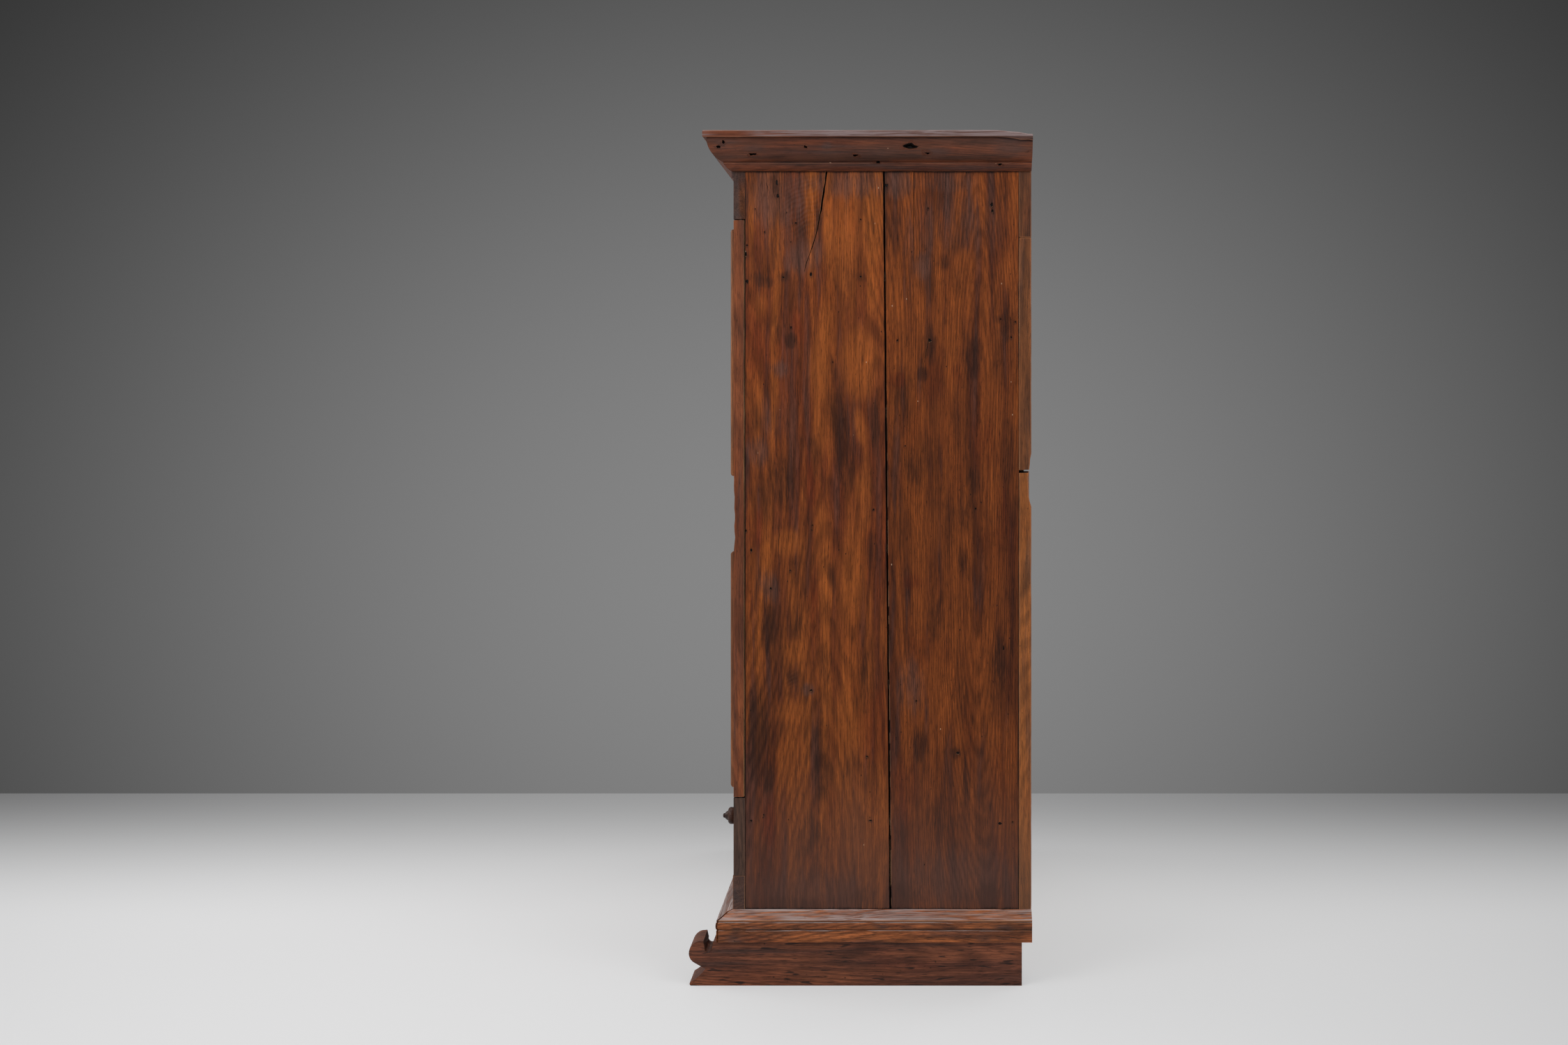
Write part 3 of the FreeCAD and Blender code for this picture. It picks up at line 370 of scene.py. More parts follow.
def section(width, height, start, steps, parts=7):
    """A section's points from shares of its width and height. A pair of points is an arc."""
    points = [(start[0] * width, start[1] * height)]
    for step in steps:
        if isinstance(step[0], tuple):
            middle, end = ((x * width, y * height) for x, y in step)
            points += arc_points(points[-1], middle, end, parts)
        else:
            points.append((step[0] * width, step[1] * height))
    return points


def corner_turns(points):
    """How sharply a section turns at each of its points, in radians, outward corners first."""
    turns = []
    for k in range(len(points)):
        before, here, after = (Vector(points[j % len(points)]) for j in (k - 1, k, k + 1))
        first, second = here - before, after - here
        turns.append(math.atan2(first.x * second.y - first.y * second.x, first.dot(second)))
    side = 1 if sum(turns) > 0 else -1
    return [side * turn for turn in turns]


def corner_points(points, reach):
    """Adds points close to each sharp corner, so that its wear and painted highlight, or the
    painted shade in a hollow, stay near it.
    """
    made = []
    for k, turn in enumerate(corner_turns(points)):
        before, here, after = (Vector(points[j % len(points)]) for j in (k - 1, k, k + 1))
        if abs(turn) < 0.35:
            made.append(tuple(here))
            continue
        for other, order in ((before, 1), (after, -1)):
            way = other - here
            shares = [share for share in (2.0, 0.6)[::order] if share * reach < way.length * 0.4]
            if order < 0:
                made.append(tuple(here))
            made += [tuple(here + way.normalized() * share * reach) for share in shares]
    return made


def run(bm, points, start, along, out, mitres=(0, 0), step=0.014, sway=0.0004, seed=0.0,
        wear_and_light=1.6, reach=0.0009, up=(0, 0, 1)):
    """Runs a section along a line, a little unevenly, as a hand plane does. mitres sets how much
    further each end reaches for each millimetre that the section stands out."""
    start, along, out, up = (Vector(value) for value in (start, along, out, up))
    direction = along.normalized()
    count = max(2, int(along.length / step))
    rubbed = bm.loops.layers.float.get("wear_and_light") or bm.loops.layers.float.new("wear_and_light")
    points = corner_points(points, reach)
    turns = corner_turns(points)
    rings = []
    for i in range(count + 1):
        t = i / count
        ring = []
        for k, (u, v) in enumerate(points):
            at = along.length * t - mitres[0] * u * (1 - t) + mitres[1] * u * t
            wave = noise.noise(Vector((at * 7 + seed, u * 20, v * 20)))
            nick = noise.noise(Vector((at * 45 + seed, u * 60, v * 60)))
            drift = sway * (wave + 0.5 * nick)
            sharp = max(0.0, min(1.0, turns[k] * 1.4))
            bite = sharp * sway * 2.2 * max(0.0, 0.3 + nick + wave)
            shift = (drift - bite) if u > 0.0005 else 0.0
            place = start + direction * at + out * (u + shift) + up * (v + drift * 0.5)
            ring.append(bm.verts.new(place))
        rings.append(ring)
    for near, far in zip(rings, rings[1:]):
        for k in range(len(points)):
            j = (k + 1) % len(points)
            face = bm.faces.new((near[k], near[j], far[j], far[k]))
            # Outward corners are painted pale, as wear and painted highlight, and hollow ones dark,
            # as painted shade.
            for loop, n in zip(face.loops, (k, j, j, k)):
                loop[rubbed] = max(-1.0, min(1.0, turns[n] * wear_and_light))
    bm.faces.new(rings[0])
    bm.faces.new(rings[-1])
    bmesh.ops.recalc_face_normals(bm, faces=bm.faces)


def ease(bm, width, angle=0.75):
    """Takes the sharpness off the arrises."""
    sharp = [edge for edge in bm.edges if edge.is_manifold and edge.calc_face_angle() > angle]
    made = bmesh.ops.bevel(bm, geom=sharp, offset=width, segments=2, profile=0.5, affect="EDGES",
                           clamp_overlap=True)
    return made["faces"]


def number_boards(bm, name):
    """Gives each loose board of a piece its own number, for the look of its wood."""
    seeds = bm.verts.layers.float.new("board")
    dice = random.Random(name)
    for vert in bm.verts:
        vert.tag = False
    for vert in bm.verts:
        if vert.tag:
            continue
        number = dice.random()
        vert.tag = True
        queue = [vert]
        while queue:
            here = queue.pop()
            here[seeds] = number
            for edge in here.link_edges:
                other = edge.other_vert(here)
                if not other.tag:
                    other.tag = True
                    queue.append(other)


def stand_for(bm, part, materials, smooth=50):
    """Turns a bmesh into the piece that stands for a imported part, kept inside its box."""
    name = part + "_wood"
    number_boards(bm, name)
    low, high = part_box(part)
    for vert in bm.verts:
        vert.co = [min(max(value, a), b) for value, a, b in zip(vert.co, low, high)]
    mesh = bpy.data.meshes.new(name)
    bm.to_mesh(mesh)
    bm.free()
    for material in materials:
        mesh.materials.append(material)
    mesh.shade_smooth()
    mesh.set_sharp_from_angle(angle=math.radians(smooth))
    piece = bpy.data.objects.new(name, mesh)
    scene.collection.objects.link(piece)
    flat = piece.modifiers.new("flat", "WEIGHTED_NORMAL")
    flat.keep_sharp = True
    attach(piece, body_of[part])
    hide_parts(part)
    return piece


# The planed faces come out uneven in the same way each time.
noise.seed_set(5)


def worked(part, grain, material, arris=0.0013, sway=0.0005, step=0.05, shape=None, edge=1.0,
           within=None, beside=None):
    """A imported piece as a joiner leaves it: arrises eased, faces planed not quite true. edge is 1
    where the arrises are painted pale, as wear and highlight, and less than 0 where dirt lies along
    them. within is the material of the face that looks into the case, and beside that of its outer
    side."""
    bm = bmesh.new()
    bm.from_mesh(frame["nodes"][part].data)
    bmesh.ops.remove_doubles(bm, verts=bm.verts, dist=0.00002)
    bmesh.ops.dissolve_limit(bm, angle_limit=0.03, verts=bm.verts, edges=bm.edges)
    low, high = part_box(part)
    axis = "xyz".index(grain)
    count = int((high[axis] - low[axis]) / step)
    across = Vector([float(i == axis) for i in range(3)])
    for i in range(1, count):
        at = low + across * (high[axis] - low[axis]) * i / count
        everything = bm.verts[:] + bm.edges[:] + bm.faces[:]
        bmesh.ops.bisect_plane(bm, geom=everything, plane_co=at, plane_no=across, dist=1e-6)
    rubbed = bm.faces.layers.float.new("wear_and_light")
    for face in ease(bm, arris):
        face[rubbed] = edge
    for vert in bm.verts:
        here = vert.co.copy()
        rough = noise.noise_vector(here * 47) * sway * 0.5
        vert.co = here + noise.noise_vector(here * 8) * sway + rough
        if shape:
            vert.co = shape(here, vert.co)
    inward = -math.copysign(1.0, low.y + high.y)
    outward = math.copysign(1.0, low.x + high.x)
    for face in bm.faces:
        if within and face.normal.y * inward > 0.7:
            face.material_index = 1
        elif beside and face.normal.x * outward > 0.7:
            face.material_index = 2
    return stand_for(bm, part, [wood for wood in (material, within, beside) if wood])


def raw_wood(grain):
    """Wood that was never waxed, greyed with age, which all inner parts are made of."""
    return waxed("raw_wood_" + grain, grain, (150, 116, 82), (124, 92, 64), (92, 66, 48),
                 (108, 92, 76), gloss=(0.6, 0.85), relief=1.2, pale_arris=(168, 138, 104))


FOOT_HEIGHT = 0.092
FOOT_REACH = 0.116
FOOT_INNER_X = 0.603
FOOT_WIDTH = 0.097
FOOT_REAR_Y = 0.337
CASE_FRONT_Y = -0.242
foot_wood = waxed("foot_wood", "y", (122, 70, 45), (84, 48, 35), (44, 28, 22), (58, 45, 40),
                  grimy=0.5, gloss=(0.4, 0.66), relief=1.7, pale_arris=(132, 94, 70), fleck=1.2,
                  patchy=0.8, gashes=0.85)
rear_share = (CASE_FRONT_Y - FOOT_REAR_Y) / FOOT_REACH
scroll = section(FOOT_REACH, FOOT_HEIGHT, (rear_share, 0.0), (
    (0.965, 0.0),
    ((0.984, 0.03), (0.97, 0.08)),
    ((0.87, 0.16), (0.7, 0.38)),
    (0.9, 0.522),
    ((0.973, 0.608), (1.0, 0.73)),
    ((0.952, 0.905), (0.83, 1.005)),
    (0.742, 1.015),
    (0.715, 0.86),
    ((0.648, 0.745), (0.58, 0.86)),
    (0.556, 1.0),
    (rear_share, 1.0),
))
for hand, side in HANDS:
    bm = bmesh.new()
    run(bm, scroll, (side * FOOT_INNER_X, CASE_FRONT_Y, 0), (side * FOOT_WIDTH, 0, 0),
        (0, -1, 0), step=0.012, sway=0.0007, seed=side * 3.7)
    ease(bm, 0.0016)
    stand_for(bm, "runner_" + hand, [foot_wood])
plinth_wood = waxed("plinth_wood", "x", (96, 62, 46), (70, 46, 37), (40, 29, 26), (56, 45, 42),
                    grimy=0.6)
worked("plinth_board_front", "x", plinth_wood)
raw_wood_x = raw_wood("x")
worked("plinth_board_rear", "x", raw_wood_x)

# The sides: two wide boards each, standing on the runners, with an open leaning joint between
# them. They are waxed outside, raw within, and scarred by a long split, nails and knocks.
SIDE_LOW, SIDE_HIGH = 0.092, 1.757
SIDE_REAR_Y = 0.332
INNER_PLANE = 0.655
JOINT_LOW_Y = CASE_FRONT_Y + 0.304
JOINT_HIGH_Y = CASE_FRONT_Y + 0.289
JOINT_GAP = 0.0026
CORNICE_COVERS, BASE_COVERS = 0.055, 0.062
# Dirt along a board's edges; painted shade along its ends, under the cornice and above the base
# moulding.
EDGE_DIRT, END_SHADE = 0.003, 0.006
PALE_EDGE, PALE_TOP = 0.0014, 1.4
FINE, COARSE = 0.0037, 0.009
WAX_GRIME = (82, 57, 49)
WAX = {"front": ((140, 74, 29), (90, 41, 18), (47, 25, 15), WAX_GRIME),
       "rear": ((126, 64, 25), (75, 34, 15), (43, 22, 14), WAX_GRIME)}
SIDE_LOOKS = dict(marks=True, relief=1.9, gloss=(0.34, 0.52), patchy=0.95, fleck=1.12,
                  dirty_below=0.52, polish=0.12)
raw_wood_z = raw_wood("z")
# Hole and split walls are painted dark, for dirt and the shade inside them; their pale rims are
# painted highlights on broken wood.
hole_dark = waxed("hole_dark", "z", (30, 21, 18), (22, 15, 13), (14, 10, 9), (20, 16, 15))
broken_lit_rim = waxed("broken_lit_rim", "z", (166, 122, 90), (128, 86, 60), (72, 48, 36), (96, 72, 60),
                   relief=1.5)

# A mark is a pixel of its middle, its half width and height in pixels, its strength, and how far
# its foot leans to the right. Soot is dark, glow is rubbed bright, film greyed, red reddened, and
# they go to the four channels of a colour in this order. On the cornice, most soot, low on the
# cove, is painted shade, and glow on the lip and high on the cove is painted highlight; the two
# broad, weak film patches high on the side are painted sheen.
KINDS = ("soot", "glow", "film", "red")
SIDE_MARKS = {
    "soot": [
        (1440, 270, 24, 30, 0.4), (1112, 268, 8, 22, 0.8, 4), (1160, 322, 24, 34, 0.6, -10),
        (1092, 402, 18, 12, 0.9, 8), (1235, 398, 12, 9, 0.6), (1124, 397, 9, 8, 0.9),
        (1116, 474, 6, 26, 0.8, 2), (1136, 489, 9, 12, 1.0), (1196, 530, 6, 26, 0.8, 2),
        (1202, 600, 13, 42, 1.0, 6), (1212, 665, 15, 50, 0.95, 8), (1256, 610, 9, 44, 0.8),
        (1120, 690, 22, 44, 0.7, 6), (1250, 790, 11, 34, 0.7), (1102, 902, 11, 38, 0.95),
        (1190, 822, 7, 34, 0.8, 6), (1142, 900, 12, 28, 0.7), (1136, 972, 11, 14, 0.6),
        (1184, 964, 8, 34, 0.85, 2), (1088, 1054, 14, 80, 1.0), (1100, 1115, 12, 26, 0.9),
        (1180, 1100, 11, 54, 0.95), (1240, 980, 8, 60, 0.7), (1165, 1210, 22, 50, 0.7),
        (1130, 1302, 60, 16, 0.9), (1242, 1292, 20, 22, 0.8), (1353, 376, 11, 14, 0.7),
        (1444, 468, 9, 24, 1.0), (1436, 458, 12, 8, 0.9), (1334, 494, 11, 30, 0.9),
        (1324, 537, 10, 12, 0.9), (1394, 512, 15, 38, 0.85), (1312, 676, 16, 34, 1.0, 4),
        (1398, 692, 16, 22, 0.75), (1385, 732, 18, 34, 0.8), (1381, 808, 8, 26, 0.85),
        (1345, 890, 14, 40, 0.7), (1437, 945, 14, 50, 0.95), (1320, 1071, 12, 24, 1.0),
        (1372, 1081, 8, 9, 1.0), (1387, 1128, 7, 40, 0.75), (1415, 1158, 9, 12, 0.8),
        (1345, 1180, 26, 50, 0.55), (1410, 1290, 40, 24, 0.8), (1300, 1290, 30, 24, 0.8),
    ],
    "glow": [
        (1215, 330, 34, 60, 0.5), (1090, 440, 14, 26, 0.5), (1176, 530, 14, 60, 0.95),
        (1234, 520, 28, 56, 0.95), (1236, 615, 10, 34, 0.7, 6), (1178, 620, 12, 40, 0.6),
        (1178, 752, 14, 32, 0.6), (1236, 700, 14, 30, 0.6), (1130, 780, 26, 22, 0.7),
        (1138, 936, 18, 20, 0.7), (1222, 830, 22, 90, 0.8, -4), (1138, 1022, 30, 20, 0.75),
        (1212, 1034, 20, 46, 0.75), (1125, 1094, 9, 38, 0.75), (1202, 1120, 9, 22, 0.6),
        (1226, 1200, 24, 60, 0.5), (1384, 376, 18, 22, 0.75), (1448, 386, 13, 32, 0.85),
        (1367, 490, 15, 22, 0.75), (1420, 560, 16, 50, 0.55), (1350, 600, 18, 44, 0.55),
        (1340, 760, 16, 50, 0.5), (1425, 810, 26, 40, 0.45), (1350, 970, 20, 24, 0.7),
        (1354, 1026, 13, 18, 0.7), (1395, 960, 16, 40, 0.5), (1419, 1019, 9, 8, 0.7),
        (1450, 1090, 11, 78, 0.9),
    ],
    "film": [
        # The first two, broad and weak, are painted sheen high on the side.
        (1130, 330, 80, 70, 0.4), (1370, 320, 100, 70, 0.4), (1112, 284, 56, 52, 0.9),
        (1228, 264, 52, 24, 0.9), (1290, 262, 26, 24, 0.9), (1360, 262, 60, 22, 0.5),
        (1160, 262, 40, 18, 0.8), (1152, 366, 30, 30, 0.85, -10), (1117, 530, 14, 14, 0.8),
        (1088, 648, 18, 26, 0.8), (1104, 600, 20, 46, 0.45), (1103, 842, 14, 26, 0.9, 4),
        (1159, 990, 10, 10, 1.0), (1165, 1290, 110, 46, 0.85), (1323, 382, 12, 22, 0.9),
        (1306, 984, 20, 46, 0.9), (1370, 1262, 95, 48, 0.95),
    ],
    "red": [
        (1085, 330, 16, 60, 0.5), (1145, 470, 10, 30, 0.6, 4), (1160, 690, 16, 46, 0.6, 4),
        (1090, 760, 18, 40, 0.5), (1168, 870, 8, 60, 0.5), (1105, 1184, 12, 36, 0.75),
        (1288, 545, 16, 14, 0.7), (1371, 536, 14, 18, 0.6), (1418, 630, 24, 50, 0.5),
        (1436, 730, 14, 60, 0.5), (1312, 835, 16, 14, 0.75), (1300, 1130, 18, 50, 0.7),
        (1434, 1230, 16, 40, 0.5),
    ],
}


def on_side(x, y, out=0.0):
    """Where a pixel of the picture lies, out metres in front of the right side: its Y and Z."""
    pixel = PIXEL * (1 - out / DISTANCE)
    return EYE.y + (x - EYE_PIXEL[0]) * pixel, EYE.z - (y - EYE_PIXEL[1]) * pixel


def mark(mesh, marks, edges=None, out=0.0, ripples=(), pale_edge=None):
    """Writes the marks, the dirt along a board's edges and the painted shade at its ends, on each
    corner point.
    """
    points = np.empty(len(mesh.vertices) * 3)
    mesh.vertices.foreach_get("co", points)
    x, y, z = points.reshape(-1, 3).T

    def away(row, out=0.0):
        """How far each point is from a spot's middle, squared, where 1 is the spot's rim."""
        middle_y, middle_z = on_side(*row[:2], out)
        down = (middle_z - z) / (row[3] * PIXEL)
        lean = row[5] if len(row) > 5 else 0
        return ((y - middle_y - down * lean * PIXEL) / (row[2] * PIXEL)) ** 2 + down ** 2

    layers = np.zeros((len(x), 4))
    for channel, kind in enumerate(KINDS):
        for row in marks[kind]:
            amount = row[4] * np.exp(-1.1 * np.sqrt(away(row, out)) ** 2.4)
            layers[:, channel] = np.maximum(layers[:, channel], amount)
    numbers = {"rim": np.zeros(len(x)), "ripple": np.zeros(len(x))}
    if edges:
        near = np.minimum(np.abs(y - edges[0](z)), np.abs(y - edges[1](z)))
        # Painted shade along the ends, under the cornice and above the base moulding.
        ends = np.minimum(SIDE_HIGH - CORNICE_COVERS - z, z - SIDE_LOW - BASE_COVERS)
        numbers["rim"] = np.maximum(np.clip(1 - near / EDGE_DIRT, 0, 1) * 0.8,
                                    np.clip(1 - ends / END_SHADE, 0, 1))
    for row in ripples:
        numbers["ripple"] = np.maximum(numbers["ripple"], np.exp(-away(row)))
    if pale_edge:
        rubbed = np.clip(1.6 - np.abs(y - pale_edge(z)) / PALE_EDGE, 0, 1)
        rubbed *= np.sin(z * 37) * np.sin(z * 91) > -0.25
        numbers["wear_and_light"] = rubbed * np.clip((PALE_TOP - z) * 3, 0, 1) * (x > SIDE_PLANE - 0.003)
    made = mesh.attributes.new("marks", "FLOAT_COLOR", "POINT")
    made.data.foreach_set("color", np.clip(layers, 0, 1).astype(np.float32).ravel())
    for name, values in numbers.items():
        made = mesh.attributes.new(name, "FLOAT", "POINT")
        made.data.foreach_set("value", values.astype(np.float32))


RAW, HOLE, RIM = 1, 2, 3
ARRIS_WEAR = 0.0016


def side_board(part, side, edges, wood, step, dents=()):
    """One board as a closed skin: a fine outer face with worn arrises, and a plain inner one."""
    shares = [0, 0.0012, 0.0035, 0.008]
    middle = np.linspace(0.018, 0.982, max(6, int(0.29 / step)))
    across = shares + list(middle) + [1 - share for share in reversed(shares)]
    heights = np.linspace(SIDE_LOW, SIDE_HIGH, int((SIDE_HIGH - SIDE_LOW) / step))

    def bumps(*place):
        return noise.noise(Vector(place))

    verts = []
    for z in heights:
        low, high = (edge(z) for edge in edges)
        for k, share in enumerate(across):
            front, inward = k < 9, 1 if share < 0.5 else -1
            y = low + (high - low) * share
            reach = min(share, 1 - share) * (high - low)
            worn = ARRIS_WEAR * (0.75 + 0.7 * bumps(z * 9, front, side * 5)
                                 + 0.5 * bumps(z * 45, front, side * 7))
            depth = 0.0
            if reach < worn:
                depth = worn - math.sqrt(max(0.0, worn ** 2 - (worn - reach) ** 2))
            if reach < 0.0002:
                y += (0.0012 * bumps(z * 16, front, 3) + 0.0008 * bumps(z * 90, front, 4)) * inward
                y = max(y, low) if share < 0.5 else min(y, high)
            depth += 0.00045 * (0.5 + bumps(y * 14, z * 3.2, side * 11))
            depth += 0.00018 * (0.5 + bumps(y * 60, z * 9, side * 13))
            for at_y, at_z, wide, tall, deep in dents:
                near = ((y - at_y) / wide) ** 2 + ((z - at_z) / tall) ** 2
                if near < 1:
                    depth += deep * (1 - near) ** 1.5
            verts.append((side * (SIDE_PLANE - max(depth, 0.0)), y, z))
    wide, tall = len(across), len(heights)
    faces = []
    for i in range(tall - 1):
        for k in range(wide - 1):
            a = i * wide + k
            faces.append((a, a + 1, a + wide + 1, a + wide))
    rim = list(range(wide)) + [i * wide + wide - 1 for i in range(1, tall)]
    rim += [(tall - 1) * wide + k for k in range(wide - 2, -1, -1)]
    rim += [i * wide for i in range(tall - 2, 0, -1)]
    inner = len(verts)
    for k in rim:
        verts.append((side * INNER_PLANE, verts[k][1], verts[k][2]))
    for j in range(len(rim)):
        n = (j + 1) % len(rim)
        faces.append((rim[j], inner + j, inner + n, rim[n]))
    faces.append(tuple(inner + j for j in range(len(rim))))
    mesh = bpy.data.meshes.new(part)
    mesh.from_pydata(verts, [], faces)
    bm = bmesh.new()
    bm.from_mesh(mesh)
    bpy.data.meshes.remove(mesh)
    bmesh.ops.recalc_face_normals(bm, faces=bm.faces)
    for face in bm.faces:
        face.material_index = RAW if len(face.verts) > 4 else 0
    return stand_for(bm, part, [wood, raw_wood_z, hole_dark, broken_lit_rim])


def bite_out(piece, cutters):
    """Cuts splits and nail holes. The walls of a cut are painted dark, for old dirt and the shade
    in it, and its rim pale, a painted highlight on broken wood.
    """
    mesh = bpy.data.meshes.new("cutters")
    bm = bmesh.new()
    for loops, rims in cutters:
        made = [[bm.verts.new(point) for point in loop] for loop in loops]
        for i, (near, far) in enumerate(zip(made, made[1:])):
            for k in range(len(near)):
                j = (k + 1) % len(near)
                wall = bm.faces.new((near[k], near[j], far[j], far[k]))
                wall.material_index = RIM if (i, k) in rims else HOLE
        for end in (made[0], made[-1]):
            bm.faces.new(end).material_index = HOLE
    bmesh.ops.recalc_face_normals(bm, faces=bm.faces)
    bm.to_mesh(mesh)
    bm.free()
    for material in piece.data.materials:
        mesh.materials.append(material)
    tool = bpy.data.objects.new("cutters", mesh)
    scene.collection.objects.link(tool)
    cut = piece.modifiers.new("cut", "BOOLEAN")
    cut.operation = "DIFFERENCE"
    cut.solver = "EXACT"
    cut.use_self = True
    cut.object = tool
    flat = piece.modifiers["flat"]
    flat.show_viewport = False
    bpy.context.view_layer.update()
    shaped = piece.evaluated_get(bpy.context.evaluated_depsgraph_get())
    carved = bpy.data.meshes.new_from_object(shaped)
    piece.modifiers.remove(cut)
    piece.data = carved
    bpy.data.objects.remove(tool)
    bpy.data.meshes.remove(mesh)
    flat.show_viewport = True


def split(depth, *points):
    """A wedge along points of (x pixel, y pixel, width in millimetres), its rear rim painted pale
    as a highlight.
    """
    loops = []
    for k, (x, y, wide) in enumerate(points):
        here = Vector(on_side(x, y))
        before = Vector(on_side(*points[max(0, k - 1)][:2]))
        after = Vector(on_side(*points[min(len(points) - 1, k + 1)][:2]))
        along = (after - before).normalized()
        aside = Vector((-along.y, along.x)) * wide / 2000
        turn = -1 if along.y > 0 else 1
        deep = depth * min(1.0, wide / 1.2)
        places = (0.001, 1.2), (0.001, -2.4), (-0.0007, -0.9), (-deep, 0.0)
        loops.append([(SIDE_PLANE + x_off, here.x + aside.x * far * turn,
                       here.y + aside.y * far * turn) for x_off, far in places])
    return loops, {(i, 1) for i in range(len(loops))}


def pit(x, y, wide, tall, depth=3.0, out=0.0, slope=0.0, points=14):
    """A ragged nail hole or knock, sizes in millimetres. slope is how far wood rises beside it."""
    y_middle, z_middle = on_side(x, y, out)
    dice = random.Random(x * 7 + y)
    lobes = [dice.uniform(-0.18, 0.18) for _ in range(3)]
    turned = [dice.uniform(0, math.tau) for _ in range(3)]
    ragged = [1 + sum(lobes[n] * math.cos((n + 2) * math.tau * k / points + turned[n])
                      for n in range(3)) + dice.uniform(-0.12, 0.12) for k in range(points)]
    turns = [math.tau * k / points for k in range(points)]
    places = (0.0012 + slope, 1.6), (-0.0008 - slope, 0.9), (-depth / 1000 - slope, 0.5)
    loops = [[(SIDE_PLANE + out + x_off, y_middle + math.cos(turn) * wide / 2000 * rag * size,
               z_middle + math.sin(turn) * tall / 2000 * rag * size)
              for turn, rag in zip(turns, ragged)] for x_off, size in places]
    # Most holes get a pale lower rim: a painted highlight where the light catches it.
    pale = range(8, 13) if dice.random() < 0.6 else ()
    return loops, {(0, k) for k in pale}


def joint_y(z):
    """The leaning joint, where the front board ends."""
    return JOINT_LOW_Y + (JOINT_HIGH_Y - JOINT_LOW_Y) * (z - SIDE_LOW) / (SIDE_HIGH - SIDE_LOW)


BOARD_EDGES = {
    "front": (lambda z: z * 0 + CASE_FRONT_Y, joint_y),
    "rear": (lambda z: joint_y(z) + JOINT_GAP, lambda z: z * 0 + SIDE_REAR_Y),
}


def scarred_board(place, looks, dents, splits, pits, **edge):
    """A board of the right side with its dents, splits and holes, and dirt around each hole."""
    wood = waxed("side_%s_wood" % place, "z", *WAX[place], **looks, **SIDE_LOOKS)
    dents = [(*on_side(x, y), *size) for x, y, *size in dents]
    edges = BOARD_EDGES[place]
    piece = side_board("side_%s_board_right" % place, 1, edges, wood, FINE, dents)
    bite_out(piece, [split(*line) for line in splits] + [pit(*row) for row in pits])
    soot = [(x, y + 1, max(2.6, wide / 1.6), max(3.2, tall / 1.4), 0.8)
            for x, y, wide, tall in pits]
    mark(piece.data, dict(SIDE_MARKS, soot=SIDE_MARKS["soot"] + soot), edges, **edge)


scarred_board(
    "front", dict(seed=0.37, painted_light_heights=(0.6, 1.65)),
    dents=[(1114, 268, 0.016, 0.03, 0.0012), (1124, 396, 0.03, 0.018, 0.0008)],
    splits=[
        (0.009, (1187, 228, 3.4), (1186.4, 245, 4.2), (1185, 254, 3.6), (1184.4, 262, 2.2),
         (1182.6, 270, 3.2), (1182, 276, 4.0), (1179.6, 290, 3.4), (1178.6, 300, 3.8),
         (1176.6, 308, 2.0), (1172.6, 330, 2.2), (1170.6, 338, 1.5), (1166.6, 351, 1.9),
         (1161, 367, 1.1), (1158, 375, 1.4), (1154, 390, 0.6)),
        (0.003, (1117.5, 756, 0.5), (1118.4, 768, 1.5), (1117.2, 780, 1.2), (1117, 794, 0.4)),
        (0.002, (1099, 262, 0.5), (1101.4, 267, 1.4), (1102, 273, 0.8), (1100.4, 278, 0.4)),
    ],
    pits=[
        (1124, 398, 5, 4), (1163.6, 394, 5, 8), (1235, 397, 4.4, 3.4), (1235, 315, 3, 3),
        (1114.6, 262, 5, 14), (1116, 281, 6, 9), (1142, 320, 5, 3), (1072, 404, 5, 7),
        (1070.4, 365, 3, 10), (1072, 352, 2.4, 4), (1253.6, 731.6, 3.8, 3.8), (1166, 754, 2.6, 2.6),
        (1070.5, 762, 3, 5), (1078, 790, 4, 7), (1134, 819, 3, 3), (1106, 845, 4, 5),
        (1164, 991, 5, 4), (1078, 1178, 3.4, 4), (1096, 1170, 3, 3), (1249, 1178, 7, 3),
        (1244, 1086, 4, 3), (1195, 520, 2, 5), (1135, 470, 3, 5), (1084, 300, 2.4, 2.4),
        (1097, 333, 2, 4),
    ],
    ripples=[(1152, 290, 26, 44), (1136, 975, 10, 16)])
scarred_board(
    "rear", dict(seed=0.81, painted_light_heights=(1.0, 1.9), pale_arris=(152, 108, 80)),
    dents=[(1444, 471, 0.024, 0.03, 0.0022), (1273, 268, 0.016, 0.024, 0.001)],
    splits=[
        (0.004, (1311, 244, 1.4), (1311.5, 270, 1.1), (1311, 300, 1.2), (1310.5, 340, 0.9),
         (1311, 382, 0.3)),
        (0.002, (1374.5, 878, 0.3), (1374.5, 920, 0.8), (1374, 958, 0.3)),
        (0.002, (1333, 486, 1.4), (1329, 505, 1.0), (1323, 538, 0.4)),
    ],
    pits=[
        (1423, 294, 5, 8), (1424, 303, 4, 7), (1332, 299, 2.6, 3), (1272, 266, 7, 9),
        (1287.5, 488.6, 4, 4), (1400, 730, 3.4, 3.4), (1435, 1182, 7, 5), (1453, 1180, 3, 3),
        (1374.5, 1081, 7, 5), (1315, 1006, 3.4, 3), (1436, 458, 4, 3), (1451, 484, 3, 6),
        (1334.5, 489, 6, 7), (1299, 640, 2.4, 3), (1440, 930, 2.6, 10), (1457, 462, 2.4, 4),
    ],
    pale_edge=BOARD_EDGES["rear"][0])

